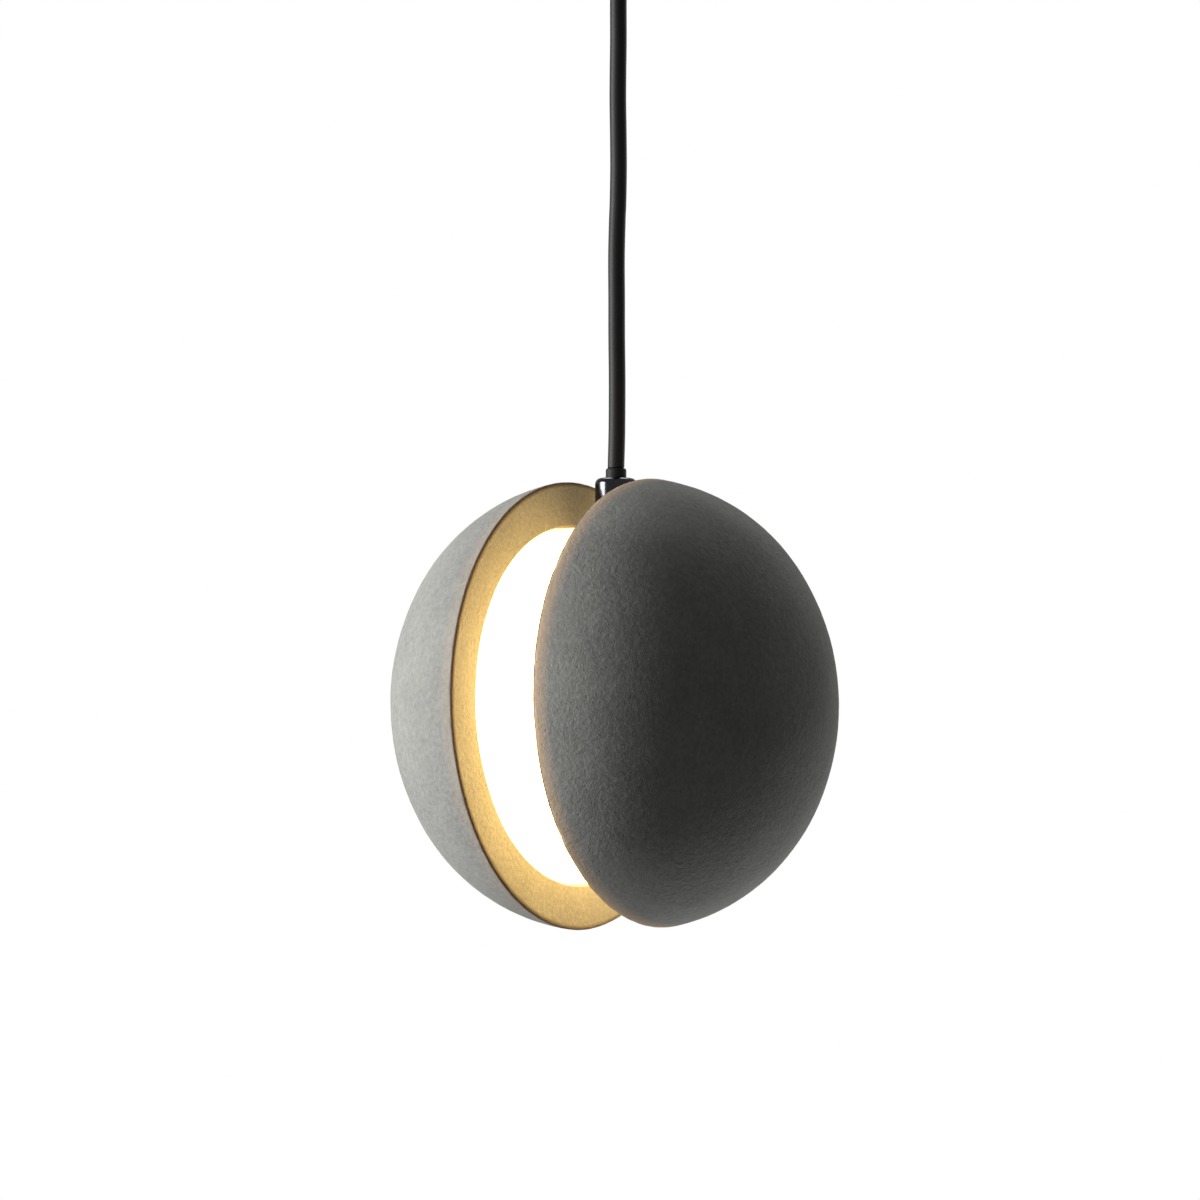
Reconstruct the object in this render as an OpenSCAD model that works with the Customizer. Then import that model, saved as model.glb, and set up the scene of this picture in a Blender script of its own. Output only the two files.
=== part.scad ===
// Pendant light: two cast concrete domes facing each other across a lit opal drum,
// hung by one round cord from a small ceiling rose. Millimetres, +Z up.
// Origin: centre of the ceiling plate's top face. The domes share the X axis.

/* [Lamp head] */
// Diameter of the head at its widest ring
head_d = 160; // [140:1:200]
// Depth of each dome, from its rim face to its crown
dome_depth = 61; // [57:0.5:76]
// Gap between the two rim faces
gap_w = 34; // [28:1:46]
// Radius of the round shoulder behind each rim
shoulder_r = 64; // [54:0.5:65]
// How far inside the gap the widest ring of the oval lies
widest_back = 9; // [6:0.5:12]
// Radius of the worn edge round each rim
edge_r = 0.8; // [0.5:0.1:3]
// Rim width, from the drum recess to the widest ring
rim_w = 16; // [14:0.5:20]
// Thickness of the concrete at the crown and the shoulder
concrete_t = 13; // [10:0.5:16]
// Ceiling to the centre of the head
hang_drop = 316; // [316:1:420]

/* [Light unit] */
// Wall of the opal drum
drum_wall = 2.5; // [2:0.1:4]
// Depth that each end of the drum enters its dome
drum_seat = 7; // [4:0.5:7.5]
// Gap round the drum in its recess
drum_clear = 0.4; // [0.2:0.1:0.8]
// Outer radius of the aluminium hub that carries the LED strip
hub_r = 42; // [38:0.5:46]
// Wall of the hub
hub_wall = 4; // [3:0.5:5]
// Thickness of the flanges and of the lock plate
plate_t = 2; // [1.5:0.1:3]
// Width of the LED strip
strip_w = 14; // [10:1:20]
// Number of LED chips
chip_count = 36; // [18:1:48]
// Half of the angle at the top that the LED strip leaves free for the nipple
strip_break = 14; // [12:1:30]

/* [Fixings] */
// Radius of the circle of screws and lock studs
fixing_r = 50; // [48:0.5:54]
// Radius of the concrete bosses
boss_r = 8; // [7:0.5:9]
// Length of the brass inserts
insert_l = 9; // [7:0.5:11]
// Turn that frees the right dome, degrees
lock_turn = 15; // [10:1:20]
// Radius of the lock stud's shank
stud_r = 2.5; // [2:0.1:3]
// Radius of the lock stud's head
stud_head_r = 4.5; // [4:0.1:5.5]

/* [Gland] */
// Diameter of the metal gland
gland_d = 15; // [13:0.5:18]
// Height of the gland's top above the widest ring
gland_rise = 1; // [0:0.5:6]
// Diameter of the rubber collar round the cord
collar_d = 7.4; // [7:0.1:9]
// Height of the rubber collar
collar_h = 3.5; // [2:0.5:8]
// Radius of the threaded nipples
thread_r = 5; // [4.5:0.1:6]

/* [Cord] */
// Diameter of the round cord
cord_d = 6; // [5:0.1:7]

/* [Ceiling rose] */
// Diameter of the rose
rose_d = 100; // [96:1:130]
// Height of the rose
rose_h = 40; // [38:1:60]
// Wall of the rose
rose_wall = 1.2; // [1:0.1:2]
// Radius of the rose's lower edge
rose_edge_r = 5; // [3:0.5:8]
// Distance between the ceiling screws
screw_spacing = 60; // [54:1:66]
// Radius of the ceiling screw holes
screw_hole_r = 2.6; // [2.2:0.1:3]
// Radius of the hole for the supply cable
supply_hole_r = 9; // [7:0.5:11]
// Outer radius of the swivel grip under the rose
grip_r = 10.5; // [10:0.5:14]
// Radius of the rubber bush in the grip
bush_r = 7.5; // [7.2:0.1:8]
// Height of the rubber bush
bush_h = 8; // [7:0.5:9]

/* [Hidden] */
$fn = 96;

// Colours
concrete_grey = "#8c8b88";
opal_white = "#fff6e2";
gunmetal = "#3c3d40";
black_metal = "#1d1d1e";
black_rubber = "#161616";
bare_alu = "#b9bcc0";
zinc = "#c9cbcd";
brass = "#b89b58";
reflector_white = "#f2f2ee";
live_brown = "#6b3f22";
neutral_blue = "#2c5fa8";
earth_green = "#5c9a3a";
board_white = "#e9e9e4";
chip_yellow = "#e8c15a";

// Clearances: thread or slip fit, sliding fit of the lock, hole round a screw, and a
// plain step past a cut
fit = 0.05;
slide_fit = 0.1;
hole_clear = 0.2;
cut = 1;

// Lamp head
head_z = -hang_drop;
head_r = head_d / 2;
half_gap = gap_w / 2;
recess_r = head_r - rim_w;
drum_r = recess_r - drum_clear;
drum_half = half_gap + drum_seat;
flange_r = drum_r - drum_wall - slide_fit;

// Oval section of a dome: a shoulder arc and a crown arc that meet without a step.
// In the section's plane, across is the distance from the X axis and out is the
// distance from the rim face.
edge_slope = asin((widest_back + edge_r) / (shoulder_r - edge_r));
shoulder_across = head_r - shoulder_r * cos(edge_slope);
oval_half = dome_depth + widest_back;
crown_r = (oval_half * oval_half + shoulder_across * shoulder_across - shoulder_r * shoulder_r)
    / (2 * (oval_half - shoulder_r));
crown_out = dome_depth - crown_r;
edge_across = shoulder_across + (shoulder_r - edge_r) * cos(edge_slope);

// Stations along X, counted from the middle of the gap
seat_x = half_gap + 8;
flange_x = seat_x - plate_t;
collar_t = 2;
right_flange_x = seat_x - 2 * plate_t - collar_t;
boss_top_out = seat_x - half_gap;
ledge_w = 5;
cavity_r = flange_r - ledge_w;
recess_chamfer = 0.6;
flange_bore_r = 12;
reflector_t = 0.8;
reflector_x = reflector_t + slide_fit;

// LED strip
strip_t = 0.8;
chip_size = [0.9, 2.8, 3.5];
chip_margin = 4;

// Fixings
fixing_turns = [60, 180, 300];
stud_turns = [0, 120, 240];
hub_turns = [30, 150, 270];
m4_r = 2;
m3_r = 1.5;
m4_head_r = 3.5;
m3_head_r = 2.75;
m4_head_t = 2.4;
m3_head_t = 1.8;
m4_drive_r = 1.6;
m3_drive_r = 1.2;
lock_head_t = 1.4;
insert_r = 3;
hub_boss_r = 4;
hub_boss_at = hub_r - hub_wall - hub_boss_r + 1;
hub_screw_l = 8;
stud_head_t = 2;
key_r = stud_head_r + 0.5;
lock_plate_r = flange_r - 0.5;
lock_plate_in_r = fixing_r - 10;

// Gland and stem
gland_top = head_r + gland_rise;
washer_t = 1;
washer_z = drum_r + fit;
gland_z = washer_z + washer_t;
nipple_low = hub_r - 15;
nipple_high = gland_z + 8;
pad_low = hub_r - hub_wall - 5;
pad_w = 20;
nut_flats = 14;
nut_t = 3;
collar_top = gland_top + collar_h;
cord_r = cord_d / 2;
stop_r = 7;
stop_h = 6;
sheath_low = 12;
block_half = 7;
wire_r = 0.9;
wire_side = 1.5;

// Ceiling rose
rose_r = rose_d / 2;
rose_in_r = rose_r - rose_wall;
ear_x = rose_in_r - 2.4;
ear_t = 2;
ear_w = 22;
ear_h = 16;
side_screw_z = -10;
plate_r = rose_in_r - 0.8;
grip_top_z = -rose_h;
pivot_z = grip_top_z - 14;
neck_r = bush_r + 1.5;
mouth_z = pivot_z - 3.5;
mouth_bevel = 1;
neck_low_z = pivot_z - 2;
neck_high_z = pivot_z + 3;
socket_top_z = pivot_z + bush_r + 0.9;
shank_top_z = grip_top_z + 10;
throat_r = cord_r + 0.4;
bush_mouth_r = cord_r + 2.5;
tail_low_z = pivot_z + bush_r + 0.3;
tail_high_z = -12;
driver_size = [50, 22, 16];
driver_mid_y = 27;
driver_top_z = -4;
block_size = [30, 14, 12];
block_mid_y = -27;
block_top_z = -3;
pole_pitch = 9;
pole_x = [-pole_pitch, 0, pole_pitch];
earth_spot = [24, -24];

// Route of the cord, from the collar up to the grip. Each point is [x, y, z].
cord_route = [
    [0, 0, -231.5], [0, 0, -229.5], [0.2, 0.1, -218], [0.2, 0.1, -200], [0, 0, -185], [-0.1, 0, -171],
    [-0.2, -0.1, -156], [0, 0, -143], [0.2, 0.1, -136], [0.3, 0.2, -124], [0.2, 0.1, -112],
    [0, 0, -100], [0, 0, -90], [0.1, 0, -78], [0, 0, -66], [0, 0, -54],
];

// ---------- helpers ----------

// Turns a piece drawn along Z so that it lies along X, to the right of the gap's middle
module along_x(x = 0) translate([0, 0, head_z]) rotate([0, 90, 0]) translate([0, 0, x]) children();

// Its mirror image on the left side
module along_left(x = 0) mirror([1, 0, 0]) along_x(x) children();

module at_head() translate([0, 0, head_z]) children();

module ring_of(turns, radius) {
    for (turn = turns) rotate([0, 0, turn]) translate([radius, 0, 0]) children();
}

module tube(r_out, r_in, h) {
    difference() {
        cylinder(r = r_out, h = h);
        translate([0, 0, -cut]) cylinder(r = r_in, h = h + 2 * cut);
    }
}

// Screw with its head's underside at z = 0 and its shank pointing down
module screw(r, length, head_r, head_t, drive_r) {
    difference() {
        union() {
            translate([0, 0, -length]) cylinder(r = r, h = length + head_t / 2);
            cylinder(r = head_r, h = head_t * 0.6);
            translate([0, 0, head_t * 0.6]) cylinder(r1 = head_r, r2 = head_r * 0.8, h = head_t * 0.4);
        }
        translate([0, 0, head_t * 0.4]) cylinder(r = drive_r, h = head_t, $fn = 6);
    }
}

module hex_nut(flats, bore_r, h) {
    difference() {
        cylinder(r = flats / sqrt(3), h = h, $fn = 6);
        translate([0, 0, -cut]) cylinder(r = bore_r, h = h + 2 * cut);
    }
}

// Stop collar clamped on a cord, with its grub screw's hole along +Y
module cord_stop() {
    difference() {
        tube(stop_r, cord_r + fit, stop_h);
        translate([0, 0, stop_h / 2]) rotate([-90, 0, 0]) cylinder(r = m3_r + fit, h = stop_r + cut);
    }
}

module stop_screw() {
    difference() {
        translate([0, cord_r + slide_fit, stop_h / 2]) rotate([-90, 0, 0])
            cylinder(r = m3_r, h = stop_r - cord_r - 2 * slide_fit);
        translate([0, stop_r - 1.2, stop_h / 2]) rotate([-90, 0, 0])
            cylinder(r = 0.8, h = 3, $fn = 6);
    }
}

// Unit direction of a route at a point, and the ring of points round it
function unit(v) = v / norm(v);
function route_way(route, i) =
    unit(route[min(i + 1, len(route) - 1)] - route[max(i - 1, 0)]);
function ring_points(centre, way, r, sides, side_ref) =
    let (u = unit(cross(side_ref, way)), v = cross(way, u))
    [for (k = [0 : sides - 1]) let (a = 360 * k / sides) centre + r * (cos(a) * u + sin(a) * v)];

// Tube of radius r swept along a route as one closed polyhedron
module swept_tube(route, r, sides, side_ref = [0, 1, 0]) {
    count = len(route);
    points = [for (i = [0 : count - 1])
        each ring_points(route[i], route_way(route, i), r, sides, side_ref)];
    walls = [for (i = [0 : count - 2], k = [0 : sides - 1])
        let (a = i * sides + k, b = i * sides + (k + 1) % sides)
        [a, a + sides, b + sides, b]];
    low_end = [for (k = [0 : sides - 1]) k];
    high_end = [for (k = [0 : sides - 1]) count * sides - 1 - k];
    polyhedron(points, concat([low_end], walls, [high_end]), convexity = 4);
}

// ---------- concrete domes ----------

// Half section of the oval, less an inset all round: x is across, y is out
module oval_half_section(inset = 0) {
    reach = 3 * head_r;
    intersection() {
        union() {
            intersection() {
                translate([0, crown_out]) circle(r = crown_r - inset, $fn = 256);
                polygon([
                    [0, crown_out],
                    [shoulder_across * reach / oval_half, crown_out
                        + (-widest_back - crown_out) * reach / oval_half],
                    [0, crown_out + reach],
                ]);
            }
            translate([shoulder_across, -widest_back]) circle(r = shoulder_r - inset, $fn = 256);
        }
        square([reach, reach]);
    }
}

// Full outer section with the worn rim edge
module shell_outer_section() {
    reach = 2 * head_r;
    difference() {
        oval_half_section();
        polygon([
            [edge_across, -cut],
            [edge_across, edge_r],
            [edge_across + reach * cos(edge_slope), edge_r + reach * sin(edge_slope)],
            [edge_across + reach, -cut],
        ]);
    }
    translate([edge_across, edge_r]) circle(r = edge_r, $fn = 64);
}

// One dome, rim face at z = 0 and crown towards +Z
module dome() {
    difference() {
        rotate_extrude($fn = 192) shell_outer_section();
        // recess for the end of the drum and the flange or the lock plate
        translate([0, 0, -cut]) cylinder(r = recess_r, h = boss_top_out + cut, $fn = 192);
        // small chamfer round the recess
        translate([0, 0, -cut]) cylinder(r1 = recess_r + cut + recess_chamfer, r2 = recess_r,
            h = cut + recess_chamfer, $fn = 192);
        // hollow behind it, with the fixing bosses left standing
        difference() {
            intersection() {
                rotate_extrude($fn = 192) oval_half_section(concrete_t);
                cylinder(r = cavity_r, h = 2 * head_r);
            }
            ring_of(fixing_turns, fixing_r) cylinder(r = boss_r, h = boss_top_out + insert_l + 4);
        }
        ring_of(fixing_turns, fixing_r)
            translate([0, 0, boss_top_out]) cylinder(r = insert_r + fit, h = insert_l + 1);
    }
}

module shell_left() color(concrete_grey) along_left(half_gap) dome();
module shell_right() color(concrete_grey) along_x(half_gap) dome();

module inserts() {
    ring_of(fixing_turns, fixing_r) translate([0, 0, seat_x]) tube(insert_r, m4_r + fit, insert_l);
}

module shell_inserts_left() color(brass) along_left() inserts();
module shell_inserts_right() color(brass) along_x() inserts();

// ---------- light unit ----------

module left_flange() color(bare_alu) along_left(flange_x) {
    difference() {
        cylinder(r = flange_r, h = plate_t, $fn = 192);
        translate([0, 0, -cut]) {
            cylinder(r = flange_bore_r, h = plate_t + 2 * cut);
            ring_of(fixing_turns, fixing_r) cylinder(r = m4_r + hole_clear, h = plate_t + 2 * cut);
            ring_of(hub_turns, hub_boss_at) cylinder(r = m3_r + hole_clear, h = plate_t + 2 * cut);
        }
    }
}

module right_flange() color(bare_alu) along_x(right_flange_x) {
    difference() {
        cylinder(r = flange_r, h = plate_t, $fn = 192);
        translate([0, 0, -cut]) {
            cylinder(r = flange_bore_r, h = plate_t + 2 * cut);
            ring_of(stud_turns, fixing_r) cylinder(r = stud_r + fit, h = plate_t + 2 * cut);
            ring_of(hub_turns, hub_boss_at) cylinder(r = m3_r + hole_clear, h = plate_t + 2 * cut);
        }
    }
}

// Section of the extruded hub: a ring with three screw bosses inside
module hub_section() {
    difference() {
        union() {
            difference() {
                circle(r = hub_r);
                circle(r = hub_r - hub_wall);
            }
            ring_of(hub_turns, hub_boss_at) circle(r = hub_boss_r);
        }
        ring_of(hub_turns, hub_boss_at) circle(r = m3_r + fit);
    }
}

// The hub reaches from the left flange to the right flange
module led_hub() color(bare_alu) {
    difference() {
        union() {
            along_x(-flange_x) linear_extrude(flange_x + right_flange_x) hub_section();
            // flat pad for the nipple's nut
            at_head() translate([-pad_w / 2, -pad_w / 2, pad_low])
                cube([pad_w, pad_w, hub_r - hub_wall + 1 - pad_low]);
        }
        at_head() translate([0, 0, pad_low - cut]) cylinder(r = thread_r + fit, h = 20);
        // hole for the two wires of the strip
        at_head() translate([0, 0, -hub_r - cut]) cylinder(r = 3, h = hub_wall + 2 * cut);
    }
}

module hub_screws_left() color(zinc) along_left(flange_x + plate_t)
    ring_of(hub_turns, hub_boss_at) screw(m3_r, hub_screw_l, m3_head_r, m3_head_t, m3_drive_r);

module hub_screws_right() color(zinc) along_x(right_flange_x + plate_t)
    ring_of(hub_turns, hub_boss_at) screw(m3_r, hub_screw_l, m3_head_r, m3_head_t, m3_drive_r);

// Their heads face the gap, so that a driver reaches them before the drum goes on
module flange_screws() color(zinc) along_left(flange_x) mirror([0, 0, 1])
    ring_of(fixing_turns, fixing_r) screw(m4_r, plate_t + insert_l - 1, m4_head_r, m4_head_t, m4_drive_r);

module reflector(turns) {
    r_in = hub_r + 1.8;
    r_out = flange_r - 0.6;
    difference() {
        cylinder(r = r_out, h = reflector_t, $fn = 192);
        translate([0, 0, -cut]) {
            cylinder(r = r_in, h = reflector_t + 2 * cut);
            ring_of(turns, fixing_r) cylinder(r = m4_head_r + 0.4, h = reflector_t + 2 * cut);
        }
    }
}

module reflector_left() color(reflector_white) along_left(flange_x - reflector_x) reflector(fixing_turns);
module reflector_right() color(reflector_white) along_x(right_flange_x - reflector_x) reflector(stud_turns);

// Flexible LED board, bent round the hub and broken at the top for the nipple
module led_strip() color(board_white)
    along_x(-strip_w / 2) rotate([0, 0, 180 + strip_break])
        rotate_extrude(angle = 360 - 2 * strip_break)
            translate([hub_r + fit, 0]) square([strip_t, strip_w]);

module led_chips() color(chip_yellow) {
    first = 180 + strip_break + chip_margin;
    sweep = 360 - 2 * (strip_break + chip_margin);
    for (k = [0 : chip_count - 1])
        along_x() rotate([0, 0, first + sweep * k / (chip_count - 1)])
            translate([hub_r + strip_t + 2 * fit, -chip_size.y / 2, -chip_size.z / 2]) cube(chip_size);
}

module diffuser_drum() color(opal_white) {
    difference() {
        along_x(-drum_half) difference() {
            cylinder(r = drum_r, h = 2 * drum_half, $fn = 192);
            translate([0, 0, -cut])
                cylinder(r = drum_r - drum_wall, h = 2 * drum_half + 2 * cut, $fn = 192);
        }
        at_head() translate([0, 0, drum_r - drum_wall - 3]) cylinder(r = thread_r + 0.3, h = 10);
    }
}

module lock_studs() color(zinc) along_x()
    ring_of(stud_turns, fixing_r) difference() {
        union() {
            // riveted foot, collar, shank and head
            translate([0, 0, right_flange_x - 0.3]) cylinder(r = stud_r, h = seat_x - right_flange_x + 1);
            translate([0, 0, right_flange_x + plate_t]) cylinder(r = 4, h = collar_t - slide_fit);
            translate([0, 0, seat_x + slide_fit]) {
                cylinder(r = stud_head_r, h = stud_head_t - 0.4);
                translate([0, 0, stud_head_t - 0.4])
                    cylinder(r1 = stud_head_r, r2 = stud_head_r - 0.4, h = 0.4);
            }
        }
        translate([0, 0, seat_x + stud_head_t - 0.8]) cylinder(r = 1.5, h = 2, $fn = 6);
    }

// A turn of the right dome about +X slides the narrow slots along the studs
module lock_plate() color(bare_alu) along_x(seat_x - plate_t) {
    difference() {
        cylinder(r = lock_plate_r, h = plate_t, $fn = 192);
        translate([0, 0, -cut]) {
            cylinder(r = lock_plate_in_r, h = plate_t + 2 * cut);
            ring_of(fixing_turns, fixing_r) cylinder(r = m4_r + hole_clear, h = plate_t + 2 * cut);
            ring_of(stud_turns, fixing_r) cylinder(r = stud_r + 2 * slide_fit, h = plate_t + 2 * cut);
            for (turn = stud_turns) rotate([0, 0, turn - lock_turn]) {
                rotate_extrude(angle = lock_turn)
                    translate([fixing_r - stud_r - slide_fit, 0])
                        square([2 * (stud_r + slide_fit), plate_t + 2 * cut]);
                translate([fixing_r, 0, 0]) cylinder(r = key_r, h = plate_t + 2 * cut);
            }
        }
    }
}

module lock_plate_screws() color(zinc) along_x(seat_x - plate_t) mirror([0, 0, 1])
    ring_of(fixing_turns, fixing_r) screw(m4_r, plate_t + insert_l - 1, m4_head_r, lock_head_t, m4_drive_r);

// ---------- gland and cord ----------

module gland_body() color(gunmetal) at_head() {
    round_r = 2.2;
    difference() {
        rotate_extrude() {
            translate([0, gland_z]) square([gland_d / 2, gland_top - round_r - gland_z]);
            translate([0, gland_top - round_r]) square([gland_d / 2 - round_r, round_r]);
            intersection() {
                translate([gland_d / 2 - round_r, gland_top - round_r]) circle(r = round_r);
                translate([gland_d / 2 - round_r, gland_top - round_r]) square([round_r, round_r]);
            }
        }
        translate([0, 0, gland_z - cut])
            cylinder(r = thread_r + fit, h = nipple_high - gland_z + cut + 0.3);
        translate([0, 0, gland_z]) cylinder(r = cord_r + fit, h = gland_top - gland_z + cut);
    }
}

module gland_washer() color(black_rubber) at_head() translate([0, 0, washer_z])
    tube(gland_d / 2 + 1, thread_r + fit, washer_t);

module gland_nipple() color(zinc) at_head() translate([0, 0, nipple_low])
    tube(thread_r, cord_r + fit, nipple_high - nipple_low);

module nipple_locknut() color(zinc) at_head() translate([0, 0, pad_low - nut_t])
    hex_nut(nut_flats, thread_r + fit, nut_t);

module head_cord_stop() color(brass) at_head() translate([0, 0, nipple_low - stop_h]) cord_stop();
module head_stop_screw() color(black_metal) at_head() translate([0, 0, nipple_low - stop_h]) stop_screw();

module cord_collar() color(black_rubber) at_head() translate([0, 0, gland_top])
    difference() {
        union() {
            cylinder(r = collar_d / 2, h = collar_h - 0.6);
            translate([0, 0, collar_h - 0.6])
                cylinder(r1 = collar_d / 2, r2 = collar_d / 2 - 0.4, h = 0.6);
        }
        translate([0, 0, -cut]) cylinder(r = cord_r + fit, h = collar_h + 2 * cut);
    }

// The sheathed end of the cord inside the gland, the nipple and the hub
module head_cord_end() color(black_rubber) at_head() translate([0, 0, sheath_low])
    cylinder(r = cord_r, h = collar_top - sheath_low);

module cord() color(black_rubber) swept_tube(cord_route, cord_r, 12);

module connector_block() color(reflector_white) at_head() difference() {
    translate([-3.5, -6, -block_half]) cube([7, 12, 2 * block_half]);
    for (side = [-1, 1]) translate([0, side * wire_side * 2, -block_half - cut])
        cylinder(r = wire_r + fit, h = 2 * block_half + 2 * cut);
}

// A wire leaves the cord's end, passes the connector and ends on the LED strip
module head_wire(side) {
    near = side * wire_side;
    far = 2 * near;
    at_head() swept_tube([
        [0, near, sheath_low], [0, near, sheath_low - 1.5], [0, far, sheath_low - 4],
        [0, far, 0], [0, far, -block_half - 5], [0, far, -hub_r + 12],
        [0, near, -hub_r + 6], [0, near, -hub_r],
    ], wire_r, 8, [1, 0, 0]);
}

module wire_live() color(live_brown) head_wire(1);
module wire_neutral() color(neutral_blue) head_wire(-1);

// ---------- ceiling rose ----------

module ceiling_plate() color(zinc) difference() {
    union() {
        translate([0, 0, -plate_t]) cylinder(r = plate_r, h = plate_t);
        intersection() {
            for (side = [-1, 1])
                translate([side > 0 ? ear_x - ear_t : -ear_x, -ear_w / 2, -ear_h])
                    cube([ear_t, ear_w, ear_h]);
            translate([0, 0, -ear_h]) cylinder(r = plate_r, h = ear_h);
        }
    }
    for (side = [-1, 1])
        translate([side * screw_spacing / 2, 0, -plate_t - cut])
            cylinder(r = screw_hole_r, h = plate_t + 2 * cut);
    translate([0, 0, -plate_t - cut]) cylinder(r = supply_hole_r, h = plate_t + 2 * cut);
    translate([-rose_r, 0, side_screw_z]) rotate([0, 90, 0]) cylinder(r = m4_r + fit, h = rose_d);
}

module rose_cup() color(black_metal) difference() {
    rotate_extrude($fn = 192) difference() {
        rose_section(rose_r, -rose_h, rose_edge_r);
        rose_section(rose_in_r, -rose_h + rose_wall, rose_edge_r - rose_wall);
    }
    translate([0, 0, -rose_h - cut]) cylinder(r = thread_r + 0.1, h = 5);
    translate([-rose_r - cut, 0, side_screw_z]) rotate([0, 90, 0])
        cylinder(r = m4_r + hole_clear, h = rose_d + 2 * cut);
}

// Filled half section of the cup or of its inside, with a round lower corner
module rose_section(r, low_z, corner_r) {
    translate([0, low_z + corner_r]) square([r, -low_z - corner_r]);
    translate([0, low_z]) square([r - corner_r, corner_r + cut / 2]);
    translate([r - corner_r, low_z + corner_r]) circle(r = corner_r);
}

module rose_side_screws() color(black_metal)
    for (side = [0, 180]) rotate([0, 0, side]) translate([rose_r + fit, 0, side_screw_z]) rotate([0, 90, 0])
        screw(m4_r, 8, m4_head_r, m4_head_t, m4_drive_r);

module driver_case() color(reflector_white) {
    low = driver_top_z - driver_size.z;
    tab_t = 2;
    difference() {
        union() {
            translate([-driver_size.x / 2, driver_mid_y - driver_size.y / 2, low]) cube(driver_size);
            // tab against the ceiling plate
            translate([-driver_size.x / 2, driver_mid_y - driver_size.y / 2 - 0.5, -plate_t - tab_t])
                cube([driver_size.x, 8, tab_t]);
        }
        for (side = [-1, 1])
            translate([side * 18, driver_mid_y, low - cut])
                cylinder(r = m3_r + fit, h = driver_size.z + 10);
        for (side = [-1, 1])
            translate([side * 18, driver_mid_y, low - cut]) cylinder(r = 3.2, h = cut + 3);
    }
}

module driver_screws() color(zinc)
    for (side = [-1, 1]) translate([side * 18, driver_mid_y, driver_top_z - driver_size.z + 3])
        mirror([0, 0, 1]) screw(m3_r, driver_size.z - 3.2, m3_head_r, m3_head_t, m3_drive_r);

module terminal_block() color(reflector_white) {
    low = block_top_z - block_size.z;
    difference() {
        translate([-block_size.x / 2, block_mid_y - block_size.y / 2, low]) cube(block_size);
        for (x = pole_x) {
            translate([x, block_mid_y - block_size.y, low + 6]) rotate([-90, 0, 0])
                cylinder(r = 1.6, h = 2 * block_size.y);
            for (y = [-3.5, 3.5]) translate([x, block_mid_y + y, low - cut]) cylinder(r = 1.8, h = 5.2);
        }
    }
}

module terminal_screws() color(brass)
    for (x = pole_x, y = [-3.5, 3.5])
        translate([x, block_mid_y + y, block_top_z - block_size.z + 0.6]) difference() {
            cylinder(r = 1.7, h = 3.4);
            translate([-2, -0.3, -cut]) cube([4, 0.6, cut + 0.7]);
        }

// Two leads from the terminal block to the driver's input
module input_leads() color(live_brown) {
    pole_z = block_top_z - block_size.z + 6;
    for (x = [-pole_pitch, pole_pitch])
        swept_tube([
            [x, block_mid_y + 2, pole_z], [x, block_mid_y + 10, pole_z],
            [x * 1.6, -10, pole_z - 5], [x * 2.2, 0, pole_z - 7],
            [x * 2.2, 8, pole_z - 4], [x * 2.2, 13, pole_z - 2],
            [x * 2.2, driver_mid_y - driver_size.y / 2 - fit, pole_z - 2],
        ], wire_r, 8, [0, 0, 1]);
}

// Two leads from the driver's output down to the cord's end
module output_leads() color(neutral_blue) {
    out_z = driver_top_z - driver_size.z + 4;
    for (side = [-1, 1])
        swept_tube([
            [side * wire_side, 0, tail_high_z], [side * wire_side, 0, tail_high_z + 1.2],
            [side * 1.8, 1, tail_high_z + 3],
            [side * 2.5, 3, tail_high_z + 4.2], [side * 5, 6.5, tail_high_z + 3],
            [side * 7, 9.5, tail_high_z], [side * 7.5, 12, out_z + 1],
            [side * 7.5, driver_mid_y - driver_size.y / 2 - 2, out_z],
            [side * 7.5, driver_mid_y - driver_size.y / 2 - fit, out_z],
        ], wire_r, 8, [1, 0, 0]);
}

module earth_lead() color(earth_green) {
    pole_z = block_top_z - block_size.z + 6;
    lug_z = -plate_t - 1;
    swept_tube([
        [0, block_mid_y - 2, pole_z], [0, block_mid_y - 9, pole_z], [3, block_mid_y - 13, pole_z],
        [10, -39, pole_z], [17, -38, pole_z + 2], [22, -35, pole_z + 4.5],
        [earth_spot.x, earth_spot.y - 7, lug_z], [earth_spot.x, earth_spot.y - 4.1, lug_z],
    ], wire_r, 8, [0, 0, 1]);
}

module earth_screw() color(brass)
    translate([earth_spot.x, earth_spot.y, -plate_t - 1.5]) mirror([0, 0, 1]) {
    screw(m4_r, 1.4, m4_head_r, m4_head_t, m4_drive_r);
    translate([0, 0, -1.4]) tube(4, m4_r + fit, 1.3);
}

module grip_body() color(black_metal) difference() {
    union() {
        translate([0, 0, neck_high_z]) cylinder(r = grip_r, h = grip_top_z - neck_high_z);
        translate([0, 0, neck_low_z + fit]) cylinder(r = neck_r, h = neck_high_z - neck_low_z);
        translate([0, 0, grip_top_z - fit]) cylinder(r = thread_r, h = shank_top_z - grip_top_z + fit);
    }
    translate([0, 0, neck_low_z - cut])
        cylinder(r = bush_r + slide_fit, h = socket_top_z - neck_low_z + cut);
    translate([0, 0, grip_top_z - 10]) cylinder(r = cord_r + fit, h = shank_top_z - grip_top_z + 11);
}

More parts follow.
